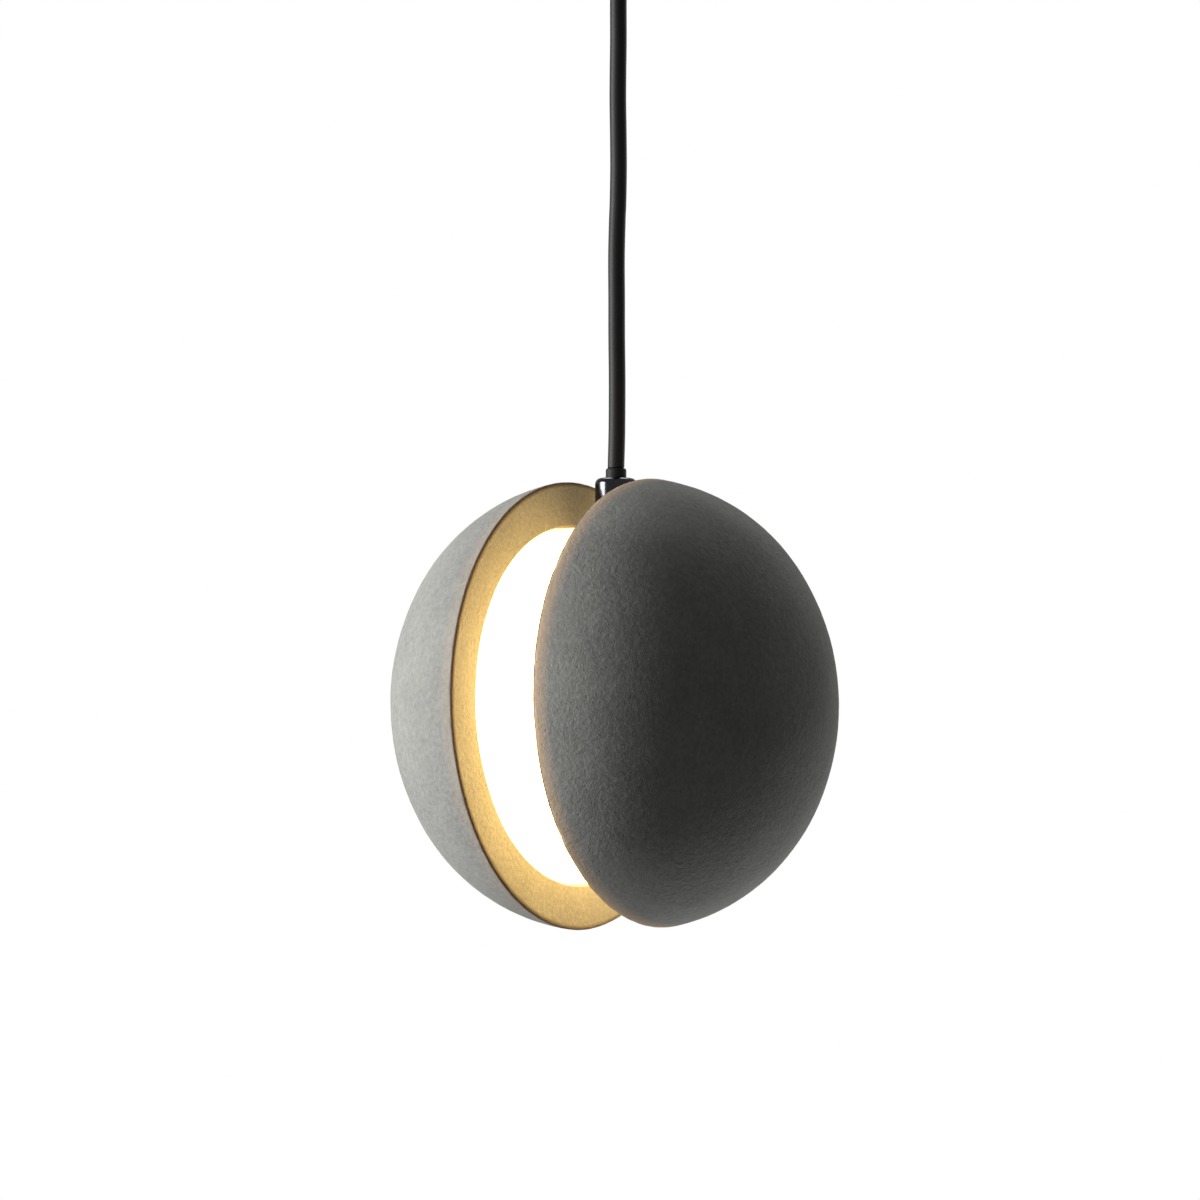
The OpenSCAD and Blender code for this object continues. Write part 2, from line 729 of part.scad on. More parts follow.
// Screw cap that holds the bush from below and flares for the cord
module grip_cap() color(black_metal) difference() {
    union() {
        translate([0, 0, mouth_z + mouth_bevel])
            cylinder(r = grip_r, h = neck_high_z - mouth_z - mouth_bevel - fit);
        translate([0, 0, mouth_z])
            cylinder(r1 = grip_r - mouth_bevel, r2 = grip_r, h = mouth_bevel);
    }
    translate([0, 0, neck_low_z]) cylinder(r = neck_r + fit, h = neck_high_z - neck_low_z + cut);
    translate([0, 0, mouth_z - 0.01])
        cylinder(r1 = bush_r - 0.7, r2 = bush_r - 0.12, h = neck_low_z - mouth_z + 0.02);
}

module grip_nut() color(zinc) translate([0, 0, grip_top_z + rose_wall])
    hex_nut(nut_flats, thread_r + fit, nut_t);

// Ball-sided bush: its hourglass bore lets the cord lean in every direction
module grip_bush() color(black_rubber) translate([0, 0, pivot_z]) difference() {
    intersection() {
        sphere(r = bush_r);
        translate([0, 0, -bush_h / 2]) cylinder(r = bush_r + 1, h = bush_h);
    }
    for (side = [0, 1]) mirror([0, 0, side])
        translate([0, 0, -0.01]) cylinder(r1 = throat_r, r2 = bush_mouth_r + 0.1, h = bush_h / 2 + 0.11);
}

module rose_cord_end() color(black_rubber) translate([0, 0, tail_low_z])
    cylinder(r = cord_r, h = tail_high_z - tail_low_z);

module rose_cord_stop() color(brass) translate([0, 0, shank_top_z]) cord_stop();
module rose_stop_screw() color(black_metal) translate([0, 0, shank_top_z]) stop_screw();

ceiling_plate();
rose_cup();
rose_side_screws();
driver_case();
driver_screws();
terminal_block();
terminal_screws();
input_leads();
output_leads();
earth_lead();
earth_screw();
grip_body();
grip_nut();
grip_cap();
rose_cord_end();
rose_cord_stop();
rose_stop_screw();
grip_bush();
cord();
cord_collar();
head_cord_end();
gland_body();
gland_washer();
gland_nipple();
nipple_locknut();
head_cord_stop();
head_stop_screw();
led_hub();
left_flange();
right_flange();
hub_screws_left();
hub_screws_right();
flange_screws();
reflector_left();
reflector_right();
led_strip();
led_chips();
diffuser_drum();
connector_block();
wire_live();
wire_neutral();
lock_studs();
shell_left();
shell_inserts_left();
shell_right();
shell_inserts_right();
lock_plate();
lock_plate_screws();
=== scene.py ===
"""Pendant light: two cast concrete domes face each other across a lit opal drum.

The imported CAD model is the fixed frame. This script adds what the frame lacks: the
cast faces of the domes, the flexible cord and leads, the small turned and moulded
parts, every finish, and the studio. Lengths are in metres, angles in degrees in the
data classes, +Z is up and the two domes share an axis along X.
"""

import logging
import math
from dataclasses import dataclass, field
from enum import Enum
from typing import Any, Optional, Sequence

import bmesh
import bpy
from mathutils import Matrix, Vector


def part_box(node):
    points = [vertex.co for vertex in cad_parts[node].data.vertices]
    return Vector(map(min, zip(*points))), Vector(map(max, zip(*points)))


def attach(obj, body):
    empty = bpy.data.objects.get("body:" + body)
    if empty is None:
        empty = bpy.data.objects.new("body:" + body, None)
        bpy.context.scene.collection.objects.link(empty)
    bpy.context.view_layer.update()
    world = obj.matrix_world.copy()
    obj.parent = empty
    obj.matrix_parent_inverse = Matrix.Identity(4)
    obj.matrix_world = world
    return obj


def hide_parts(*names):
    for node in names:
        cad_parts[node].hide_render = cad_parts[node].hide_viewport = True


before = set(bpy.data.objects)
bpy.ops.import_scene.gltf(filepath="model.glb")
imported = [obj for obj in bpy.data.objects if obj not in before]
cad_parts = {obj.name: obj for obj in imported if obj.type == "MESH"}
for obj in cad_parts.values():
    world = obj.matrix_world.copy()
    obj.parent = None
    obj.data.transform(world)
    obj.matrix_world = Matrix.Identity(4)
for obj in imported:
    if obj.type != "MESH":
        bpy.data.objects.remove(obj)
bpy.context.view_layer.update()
MM = 0.001
LOG = logging.getLogger("pendant")

Section = Sequence[tuple[float, float, int]]
Point = tuple[float, float, float]


class Body(Enum):
    """The rigid bodies of the frame that pieces ride on."""

    CEILING = "ceiling_set"
    SWIVEL = "grip_swivel"
    CORD = "cord_line"
    HEAD = "lamp_head"
    RIGHT_DOME = "right_dome"


class Slot(Enum):
    """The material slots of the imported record."""

    CONCRETE = "concrete"
    OPAL = "opal_acrylic"
    BLACK_NICKEL = "black_nickel"
    ENAMEL = "black_enamel"
    RUBBER = "black_rubber"
    SHEATH = "cord_sheath"
    ALUMINIUM = "aluminium_sheet"
    ZINC = "zinc_plate"
    BRASS = "brass"
    PLASTIC = "white_plastic"
    BOARD = "led_board"
    PHOSPHOR = "led_phosphor"
    BROWN = "lead_brown"
    BLUE = "lead_blue"
    GREEN = "lead_green"


class Side(Enum):
    """Which dome, as the sign of its X."""

    LEFT = -1
    RIGHT = 1


class Skin(Enum):
    """The skins of a dome, in order from the crown outside to the crown inside."""

    OUTSIDE = "outside"
    EDGE = "edge"
    FACE = "face"
    INSIDE = "inside"


def middle_z(node: str) -> float:
    """Height of the middle of a CAD node's box."""
    low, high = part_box(node)
    return (low.z + high.z) / 2


# ---------------------------------------------------------------- nodes and colours


def linear(hex_colour: str) -> tuple[float, float, float, float]:
    """Turns an sRGB hex colour into linear RGBA.

    Args:
        hex_colour: the colour as "#rrggbb".

    Returns:
        Linear red, green, blue and an alpha of 1.
    """
    shares = [int(hex_colour[k : k + 2], 16) / 255 for k in (1, 3, 5)]
    red, green, blue = (
        c / 12.92 if c <= 0.04045 else ((c + 0.055) / 1.055) ** 2.4 for c in shares
    )
    return (red, green, blue, 1.0)


def per_mm(size: float) -> float:
    """The texture scale at which one feature is size millimetres across."""
    return 1 / (size * MM)


def add_node(
    tree: bpy.types.NodeTree,
    kind: str,
    sockets: Optional[dict[Any, Any]] = None,
    **settings: Any,
) -> bpy.types.Node:
    """Adds a node with its settings, values and links.

    Args:
        tree: the tree that gets the node.
        kind: the node's type name.
        sockets: input name or number to a value, or to the output that feeds it.
        **settings: properties of the node.

    Returns:
        The new node.
    """
    node = tree.nodes.new(kind)
    for name, value in settings.items():
        setattr(node, name, value)
    for key, value in (sockets or {}).items():
        if isinstance(value, bpy.types.NodeSocket):
            tree.links.new(value, node.inputs[key])
        else:
            node.inputs[key].default_value = value
    return node


# ---------------------------------------------------------------- finishes


@dataclass(frozen=True)
class Finish:
    """A surface as its maker would name it. Subclasses add its pattern."""

    name: str
    colour: str
    roughness: float
    metallic: float = 0.0

    def material(self) -> bpy.types.Material:
        """Builds the material.

        Returns:
            The finished node material.
        """
        made = bpy.data.materials.new(self.name)
        made.use_nodes = True
        tree = made.node_tree
        tree.nodes.clear()
        shader = add_node(
            tree,
            "ShaderNodeBsdfPrincipled",
            {
                "Base Color": linear(self.colour),
                "Roughness": self.roughness,
                "Metallic": self.metallic,
            },
        )
        add_node(tree, "ShaderNodeOutputMaterial", {"Surface": shader.outputs[0]})
        place = add_node(tree, "ShaderNodeTexCoord").outputs["Object"]
        self.dress(tree, shader, place)
        return made

    def dress(self, tree: Any, shader: Any, place: Any) -> None:
        """Adds the pattern to the shader. The plain finish has none."""

    def tint(
        self, tree: Any, shader: Any, share: Any, dark: str, light: str
    ) -> None:
        """Runs the base colour from dark to light.

        Args:
            tree: the material's tree.
            shader: the shader that gets the colour.
            share: output that is 0 for dark and 1 for light.
            dark: the dark end, as "#rrggbb".
            light: the light end, as "#rrggbb".
        """
        mixed = add_node(
            tree,
            "ShaderNodeMix",
            {0: share, 6: linear(dark), 7: linear(light)},
            data_type="RGBA",
        )
        tree.links.new(mixed.outputs[2], shader.inputs["Base Color"])

    def vary_roughness(
        self, tree: Any, shader: Any, share: Any, low: float, high: float
    ) -> None:
        """Runs the roughness from low to high.

        Args:
            tree: the material's tree.
            shader: the shader that gets the roughness.
            share: output that is 0 for low and 1 for high.
            low: the lowest roughness.
            high: the highest roughness.
        """
        span = add_node(
            tree, "ShaderNodeMapRange", {"Value": share, "To Min": low, "To Max": high}
        )
        tree.links.new(span.outputs[0], shader.inputs["Roughness"])

    def noise(
        self, tree: Any, place: Any, size: float, detail: float = 2.0, rough: float = 0.5
    ) -> Any:
        """Adds a noise pattern.

        Args:
            tree: the material's tree.
            place: the coordinates that it reads.
            size: how large its features are, in millimetres.
            detail: octaves of finer noise.
            rough: how strong the finer octaves are.

        Returns:
            The pattern's output, from 0 to 1.
        """
        return add_node(
            tree,
            "ShaderNodeTexNoise",
            {"Vector": place, "Scale": per_mm(size), "Detail": detail, "Roughness": rough},
        ).outputs["Fac"]

    def relief(
        self, tree: Any, shader: Any, heights: Sequence[tuple[Any, float]]
    ) -> None:
        """Presses height patterns into the surface, one upon another.

        Args:
            tree: the material's tree.
            shader: the shader that gets the relief.
            heights: (height output, depth of the pattern in millimetres) pairs.
        """
        normal = None
        for height, depth in heights:
            sockets = {"Height": height, "Distance": depth * MM, "Strength": 1.0}
            if normal is not None:
                sockets["Normal"] = normal
            normal = add_node(tree, "ShaderNodeBump", sockets).outputs[0]
        tree.links.new(normal, shader.inputs["Normal"])


@dataclass(frozen=True)
class CastConcrete(Finish):
    """Fine cement mortar cast in a smooth mould, then lightly blasted.

    Blasting opens the skin, so the eye sees a dry, matte, sandy grey with specks of
    sand, cloudy patches where water moved in the mould, and a few pinholes of air. The
    arris at the rim is sanded off by hand. Behind it on the outside the colour runs to a warm
    tan, painted light of the drum's glow spilling round the edge, and on the arris it is darker,
    painted shade where the edge turns away.
    """

    cloud_mm: float = 28.0
    speck_mm: float = 1.7
    sand_mm: float = 0.75
    pinhole_mm: float = 7.0
    speck_share: float = 0.62
    speck_depth: float = 0.3
    sand_depth: float = 0.1
    pinhole_depth: float = 0.14
    dryness: float = 0.12
    light: str = "#93938f"
    # painted light: warm tan for the drum's glow spilling onto the outside behind the rim
    painted_glow: str = "#bba184"
    # painted shade: darker colour on the arris, where it turns away from the lights
    painted_edge_shade: str = "#6a5e50"

    def dress(self, tree: Any, shader: Any, place: Any) -> None:
        """Adds the clouds, specks, sand and pinholes.

        Args:
            tree: the material's tree.
            shader: the principled shader.
            place: the object coordinates.
        """
        clouds = self.noise(tree, place, self.cloud_mm, 4.0, 0.6)
        specks = self.noise(tree, place, self.speck_mm, 3.0, 0.7)
        sand = self.noise(tree, place, self.sand_mm, 2.0, 0.6)
        blend = add_node(
            tree, "ShaderNodeMix", {0: self.speck_share, 2: clouds, 3: specks}, data_type="FLOAT"
        ).outputs[0]
        share = add_node(
            tree,
            "ShaderNodeMapRange",
            {"Value": blend, "From Min": 0.3, "From Max": 0.7},
        ).outputs[0]
        body = add_node(
            tree,
            "ShaderNodeMix",
            {0: share, 6: linear(self.colour), 7: linear(self.light)},
            data_type="RGBA",
        ).outputs[2]
        # Painted light: towards the rim the outside runs to a warm tan that stands in for the
        # drum's glow.
        near_rim = add_node(tree, "ShaderNodeAttribute", attribute_name="painted_glow")
        painted_glow_colour = add_node(
            tree,
            "ShaderNodeMix",
            {0: near_rim.outputs["Fac"], 6: body, 7: linear(self.painted_glow)},
            data_type="RGBA",
        ).outputs[2]
        # Painted shade: the arris is darkened where it turns away from both the key light and the
        # drum.
        on_arris = add_node(tree, "ShaderNodeAttribute", attribute_name="rim_edge")
        painted_edge_shade = add_node(
            tree,
            "ShaderNodeMix",
            {0: on_arris.outputs["Fac"], 6: painted_glow_colour, 7: linear(self.painted_edge_shade)},
            data_type="RGBA",
        ).outputs[2]
        tree.links.new(painted_edge_shade, shader.inputs["Base Color"])
        cells = add_node(
            tree,
            "ShaderNodeTexVoronoi",
            {"Vector": place, "Scale": per_mm(self.pinhole_mm)},
        ).outputs["Distance"]
        holes = add_node(
            tree,
            "ShaderNodeMapRange",
            {"Value": cells, "From Min": 0.02, "From Max": 0.07},
            interpolation_type="SMOOTHSTEP",
        ).outputs[0]
        self.vary_roughness(tree, shader, specks, self.roughness - 0.08, self.roughness)
        shader.inputs["Specular IOR Level"].default_value = self.dryness
        depths = (self.speck_depth, self.sand_depth, self.pinhole_depth)
        self.relief(tree, shader, list(zip((specks, sand, holes), depths)))


@dataclass(frozen=True)
class OpalAcrylic(Finish):
    """Milky cast acrylic lit from behind by a warm LED strip.

    The strip is broken at the top where the stem comes in, so the glow falls off
    there, and it is strongest in the lower half. glow lists (share of a half turn
    from the top, brightness).
    """

    light: str = "#ffd17d"
    strength: float = 10.4
    haze_mm: float = 9.0
    centre_z: float = 0.0
    glow: tuple[tuple[float, float], ...] = (
        (0.0, 0.2),
        (0.11, 0.45),
        (0.22, 0.63),
        (0.33, 0.86),
        (0.5, 0.9),
        (0.67, 0.98),
        (0.78, 0.95),
        (0.88, 0.87),
        (1.0, 0.82),
    )

    def dress(self, tree: Any, shader: Any, place: Any) -> None:
        """Adds the light from inside.

        Args:
            tree: the material's tree.
            shader: the principled shader.
            place: the object coordinates.
        """
        centred = add_node(
            tree,
            "ShaderNodeMapping",
            {"Vector": place, "Location": (0, 0, -self.centre_z)},
        ).outputs[0]
        split = add_node(tree, "ShaderNodeSeparateXYZ", {0: centred})
        aside = add_node(
            tree, "ShaderNodeMath", {0: split.outputs["Y"]}, operation="ABSOLUTE"
        ).outputs[0]
        turn = add_node(
            tree,
            "ShaderNodeMath",
            {0: aside, 1: split.outputs["Z"]},
            operation="ARCTAN2",
        ).outputs[0]
        share = add_node(
            tree, "ShaderNodeMath", {0: turn, 1: math.pi}, operation="DIVIDE"
        ).outputs[0]
        ramp = add_node(tree, "ShaderNodeValToRGB", {"Fac": share})
        stops = ramp.color_ramp.elements
        red, green, blue, _ = linear(self.light)
        while len(stops) < len(self.glow):
            stops.new(0.5)
        for stop, (at, level) in zip(stops, self.glow):
            stop.position = at
            stop.color = (red * level, green * level, blue * level, 1)
        tree.links.new(ramp.outputs["Color"], shader.inputs["Emission Color"])
        shader.inputs["Emission Strength"].default_value = self.strength
        haze = self.noise(tree, place, self.haze_mm)
        self.vary_roughness(tree, shader, haze, self.roughness, self.roughness + 0.1)


@dataclass(frozen=True)
class TurnedMetal(Finish):
    """Metal turned or spun on a lathe, bare or plated.

    The tool leaves rings round the axis, so highlights stretch across them. The ring
    spacing is drawn a little coarser than a real 0.1 mm feed, so that it shows.
    """

    ring_mm: float = 0.35
    ring_depth: float = 0.004
    cloud_mm: float = 6.0
    light: str = ""
    axis: str = "Z"

    def dress(self, tree: Any, shader: Any, place: Any) -> None:
        """Adds the tool rings and a slight clouding of the plate.

        Args:
            tree: the material's tree.
            shader: the principled shader.
            place: the object coordinates.
        """
        rings = add_node(
            tree,
            "ShaderNodeTexWave",
            {
                "Vector": place,
                "Scale": per_mm(self.ring_mm) / (2 * math.pi),
                "Distortion": 0.6,
            },
            wave_type="BANDS",
            bands_direction=self.axis,
        ).outputs["Fac"]
        clouds = self.noise(tree, place, self.cloud_mm, 3.0)
        self.tint(tree, shader, clouds, self.colour, self.light or self.colour)
        self.vary_roughness(tree, shader, clouds, self.roughness, self.roughness + 0.08)
        self.relief(tree, shader, [(rings, self.ring_depth)])


@dataclass(frozen=True)
class PowderCoat(Finish):
    """Black polyester powder baked on sheet steel: an even satin with orange peel."""

    peel_mm: float = 1.4
    peel_depth: float = 0.03
    cloud_mm: float = 18.0
    light: str = "#232324"
    gloss: float = 0.3

    def dress(self, tree: Any, shader: Any, place: Any) -> None:
        """Adds the orange peel.

        Args:
            tree: the material's tree.
            shader: the principled shader.
            place: the object coordinates.
        """
        peel = self.noise(tree, place, self.peel_mm, 1.0)
        clouds = self.noise(tree, place, self.cloud_mm)
        self.tint(tree, shader, clouds, self.colour, self.light)
        self.vary_roughness(tree, shader, peel, self.roughness - 0.05, self.roughness + 0.07)
        shader.inputs["Specular IOR Level"].default_value = self.gloss
        self.relief(tree, shader, [(peel, self.peel_depth)])


@dataclass(frozen=True)
class Moulded(Finish):
    """Rubber or plastic from a mould, or extruded: a fine even grain on a soft sheen."""

    light: str = "#ffffff"
    grain_mm: float = 0.3
    grain_depth: float = 0.012
    cloud_mm: float = 11.0
    gloss: float = 0.5

    def dress(self, tree: Any, shader: Any, place: Any) -> None:
        """Adds the grain and a slight unevenness of the colour.

        Args:
            tree: the material's tree.
            shader: the principled shader.
            place: the object coordinates.
        """
        grain = self.noise(tree, place, self.grain_mm)
        clouds = self.noise(tree, place, self.cloud_mm, 3.0)
        self.tint(tree, shader, clouds, self.colour, self.light)
        self.vary_roughness(tree, shader, grain, self.roughness - 0.06, self.roughness + 0.06)
        shader.inputs["Specular IOR Level"].default_value = self.gloss
        self.relief(tree, shader, [(grain, self.grain_depth)])


@dataclass(frozen=True)
class Phosphor(Moulded):
    """Silicone with yellow phosphor over an LED chip, lit."""

    strength: float = 2.0
    glow: str = "#ffdf9e"

    def dress(self, tree: Any, shader: Any, place: Any) -> None:
        """Adds the grain and the light.

        Args:
            tree: the material's tree.
            shader: the principled shader.
            place: the object coordinates.
        """
        super().dress(tree, shader, place)
        shader.inputs["Emission Color"].default_value = linear(self.glow)
        shader.inputs["Emission Strength"].default_value = self.strength


class Palette:
    """Every finish of the lamp, one material for each slot of the record."""

    def __init__(self, drum_centre_z: float) -> None:
        """Builds the materials.

        Args:
            drum_centre_z: height of the drum's axis, where its glow is centred.
        """
        finishes: dict[Slot, Finish] = {
            Slot.CONCRETE: CastConcrete("cast_concrete", "#72726f", 0.92),
            Slot.OPAL: OpalAcrylic("opal_acrylic_lit", "#f7f3e8", 0.35, centre_z=drum_centre_z),
            Slot.BLACK_NICKEL: TurnedMetal(
                "black_nickel_polished", "#3c3c40", 0.13, 1.0, light="#4a4a50", ring_depth=0.002
            ),
            Slot.ENAMEL: PowderCoat("black_powder_coat", "#191919", 0.56),
            Slot.RUBBER: Moulded("nitrile_rubber", "#0b0b0b", 0.62, light="#111111", gloss=0.25),
            Slot.SHEATH: Moulded(
                "extruded_sheath", "#0c0c0b", 0.56, light="#121211", grain_mm=0.5, gloss=0.25
            ),
            Slot.ALUMINIUM: TurnedMetal(
                "turned_aluminium", "#b9bbbf", 0.34, 1.0, light="#c9cbce", axis="X"
            ),
            Slot.ZINC: TurnedMetal(
                "zinc_plated_steel", "#a4a8ae", 0.42, 1.0, light="#c3c3bf", ring_mm=0.5
            ),
            Slot.BRASS: TurnedMetal("turned_brass", "#b8924e", 0.26, 1.0, light="#cfae6c"),
            Slot.PLASTIC: Moulded("white_polyamide", "#dcdcd6", 0.42, light="#e8e8e3"),
            Slot.BOARD: Moulded("white_solder_mask", "#e4e4de", 0.36, light="#eeeee9"),
            Slot.PHOSPHOR: Phosphor("led_phosphor_lit", "#e9b83f", 0.3, light="#f2c956"),
            Slot.BROWN: Moulded("brown_insulation", "#54301b", 0.4, light="#623a22"),
            Slot.BLUE: Moulded("blue_insulation", "#1f4f93", 0.4, light="#295ba2"),
            Slot.GREEN: Moulded("green_insulation", "#3f7a22", 0.4, light="#4d8a2b"),
        }
        self.materials = {slot: made.material() for slot, made in finishes.items()}

    def dress_frame(self) -> None:
        """Gives every CAD node the finish of its slot."""
        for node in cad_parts.values():
            for held in node.material_slots:
                name = held.material.name.split(".")[0]
                held.material = self.materials[Slot(name)]


# ---------------------------------------------------------------- mesh makers


def new_piece(name: str, vertices: Sequence[Any], faces: Sequence[Any]) -> bpy.types.Object:
    """Makes a closed mesh object at the origin with its faces outwards.

    Args:
        name: the piece's name.
        vertices: points in metres, in the frame.
        faces: vertex numbers of each face.

    Returns:
        The new object, linked to the scene.
    """
    mesh = bpy.data.meshes.new(name)
    mesh.from_pydata([tuple(v) for v in vertices], [], faces)
    work = bmesh.new()
    work.from_mesh(mesh)
    bmesh.ops.recalc_face_normals(work, faces=work.faces)
    work.to_mesh(mesh)
    work.free()
    mesh.shade_smooth()
    mesh.set_sharp_from_angle(angle=math.radians(40))
    piece = bpy.data.objects.new(name, mesh)
    bpy.context.scene.collection.objects.link(piece)
    return piece


@dataclass
class Mesh:
    """Vertices and faces that are still being put together."""

    vertices: list[Vector] = field(default_factory=list)
    faces: list[list[int]] = field(default_factory=list)

    def add(self, other: "Mesh", place: Matrix = Matrix.Identity(4)) -> "Mesh":
        """Takes in another mesh, moved to its place.

        Args:
            other: the mesh to take in.
            place: where it goes.

        Returns:
            This mesh.
        """
        base = len(self.vertices)
        self.vertices += [place @ v for v in other.vertices]
        self.faces += [[base + k for k in face] for face in other.faces]
        return self

    def piece(self, name: str) -> bpy.types.Object:
        """Makes it an object."""
        return new_piece(name, self.vertices, self.faces)


def facet_radius(radius: float, facets: int, turn: float) -> float:
    """Radius of a circle or a regular polygon at an angle.

    Args:
        radius: the circle's radius, or the polygon's at the middle of its sides.
        facets: sides of the polygon, or 0 for a circle.
        turn: the angle, in radians.

    Returns:
        The radius there.
    """
    if not facets:
        return radius
    wedge = 2 * math.pi / facets
    return radius / math.cos((turn + wedge / 2) % wedge - wedge / 2)


def turned(section: Section, segments: int = 64) -> Mesh:
    """Turns a half section round Z.

    Args:
        section: (radius, height, facets) points. Facets is 0 for round, or 6 for a
            hexagon. A point at radius 0 makes a pole; with no poles the section is
            taken as a closed loop.
        segments: steps round the axis.

    Returns:
        The turned mesh.
    """
    made = Mesh()
    rings: list[list[int]] = []
    for radius, height, facets in section:
        base = len(made.vertices)
        if radius == 0:
            made.vertices.append(Vector((0, 0, height)))
            rings.append([base] * segments)
            continue
        for k in range(segments):
            turn = 2 * math.pi * k / segments
            r = facet_radius(radius, facets, turn)
            made.vertices.append(Vector((r * math.cos(turn), r * math.sin(turn), height)))
        rings.append([base + k for k in range(segments)])
    looped = all(radius > 0 for radius, _, _ in section)
    pairs = list(zip(rings, rings[1:])) + ([(rings[-1], rings[0])] if looped else [])
    for low, high in pairs:
        for k in range(segments):
            following = (k + 1) % segments
            corners = [low[k], low[following], high[following], high[k]]
            made.faces.append(list(dict.fromkeys(corners)))
    return made


def smooth_path(points: Sequence[Point], step: float) -> list[Vector]:
    """Runs a smooth curve through points.

    Args:
        points: the points, in metres.
        step: distance between the points of the result, in metres.

    Returns:
        Points along the curve, with the first and the last kept.
    """
    known = [Vector(p) for p in points]
    ends = [2 * known[0] - known[1], *known, 2 * known[-1] - known[-2]]
    path = [known[0]]
    for a, b, c, d in zip(ends, ends[1:], ends[2:], ends[3:]):
        count = max(1, round((c - b).length / step))
        for k in range(1, count + 1):
            t = k / count
            path.append(
                0.5
                * (
                    2 * b
                    + (c - a) * t
                    + (2 * a - 5 * b + 4 * c - d) * t * t
                    + (3 * b - a - 3 * c + d) * t * t * t
                )
            )
    return path


def swept(path: Sequence[Vector], radius: float, sides: int) -> Mesh:
    """Sweeps a round tube with closed, slightly rounded ends along a path.

    Args:
        path: the centreline.
        radius: the tube's radius.
        sides: steps round the tube.

    Returns:
        The tube.
    """
    made = Mesh()
    ways = [
        (path[min(k + 1, len(path) - 1)] - path[max(k - 1, 0)]).normalized()
        for k in range(len(path))
    ]
    across = ways[0].orthogonal().normalized()
    edge = 0.12 * radius
    full = [path[0] + ways[0] * edge, *path[1:-1], path[-1] - ways[-1] * edge]
    rings = [(path[0], ways[0], radius - edge)]
    rings += [(centre, way, radius) for centre, way in zip(full, ways)]
    rings.append((path[-1], ways[-1], radius - edge))
    for centre, way, r in rings:
        across = (across - way * across.dot(way)).normalized()
        beside = way.cross(across)
        for k in range(sides):
            turn = 2 * math.pi * k / sides
            spoke = math.cos(turn) * across + math.sin(turn) * beside
            made.vertices.append(centre + r * spoke)
    for row in range(len(rings) - 1):
        for k in range(sides):
            a, b = row * sides + k, row * sides + (k + 1) % sides
            made.faces.append([a, b, b + sides, a + sides])
    last = (len(rings) - 1) * sides
    made.faces.append(list(range(sides))[::-1])
    made.faces.append([last + k for k in range(sides)])
    return made


def socket_screw(radius: float, length: float, head_r: float, head_h: float) -> Mesh:
    """Makes a button head screw with a hexagon socket.

    Args:
        radius: the thread's radius.
        length: the thread's length.
        head_r: the head's radius.
        head_h: the head's height.

    Returns:
        The screw along Z, with its head's underside at height 0.
    """
    drive, edge = head_r * 0.42, head_r * 0.12
    return turned(
        [
            (0, -length, 0),
            (radius - 0.3 * MM, -length, 0),
            (radius, -length + 0.5 * MM, 0),
            (radius, 0, 0),
            (head_r - edge, 0, 0),
            (head_r, edge, 0),
            (head_r, head_h * 0.45, 0),
            (head_r * 0.93, head_h * 0.72, 0),
            (head_r * 0.76, head_h * 0.93, 0),
            (head_r * 0.58, head_h, 0),
            (drive, head_h, 6),
            (drive, head_h * 0.4, 6),
            (0, head_h * 0.4, 0),
        ],
        24,
    )


# ---------------------------------------------------------------- geometry nodes


def set_inputs(modifier: bpy.types.Modifier, values: dict[str, Any]) -> None:
    """Sets a tree's named inputs on a modifier, by each socket's identifier.

    Args:
        modifier: the modifier that runs the tree.
        values: input name to value.
    """
    for item in modifier.node_group.interface.items_tree:
        if item.item_type == "SOCKET" and item.in_out == "INPUT" and item.name in values:
            modifier[item.identifier] = values[item.name]


def grown(
    base: bpy.types.Object, tree: bpy.types.NodeTree, values: dict[str, Any]
) -> bpy.types.Object:
    """Runs a tree on a base object and keeps the result as a plain mesh.

    Args:
        base: the object that feeds the tree. It is removed.
        tree: the geometry node tree.
        values: input name to value.

    Returns:
        A new object with the base's name, with no modifier.
    """
    modifier = base.modifiers.new("grow", "NODES")
    modifier.node_group = tree
    set_inputs(modifier, values)
    bpy.context.view_layer.update()
    graph = bpy.context.evaluated_depsgraph_get()
    mesh = bpy.data.meshes.new_from_object(base.evaluated_get(graph))
    base.modifiers.clear()
    name = base.name
    bpy.data.objects.remove(base)
    mesh.name = name
    piece = bpy.data.objects.new(name, mesh)
    bpy.context.scene.collection.objects.link(piece)
    return piece


def open_tree(name: str, inputs: Sequence[tuple[str, str]]) -> tuple[Any, Any]:
    """Starts a geometry node tree.

    Args:
        name: the tree's name.
        inputs: (input name, socket type) pairs after the geometry.

    Returns:
        The tree and its group input node.
    """
    tree = bpy.data.node_groups.new(name, "GeometryNodeTree")
    for label, kind in [("Geometry", "NodeSocketGeometry"), *inputs]:
        tree.interface.new_socket(label, in_out="INPUT", socket_type=kind)
    tree.interface.new_socket("Geometry", in_out="OUTPUT", socket_type="NodeSocketGeometry")
    return tree, add_node(tree, "NodeGroupInput")


def close_tree(tree: Any, given: Any, geometry: Any) -> None:
    """Ends a tree with Realize Instances and Set Material.

    Args:
        tree: the geometry node tree.
        given: its group input node.
        geometry: the output that holds the finished geometry.
    """
    real = add_node(tree, "GeometryNodeRealizeInstances", {0: geometry}).outputs[0]
    painted = add_node(
        tree, "GeometryNodeSetMaterial", {"Geometry": real, "Material": given.outputs["Material"]}
    ).outputs[0]
    add_node(tree, "NodeGroupOutput", {"Geometry": painted})


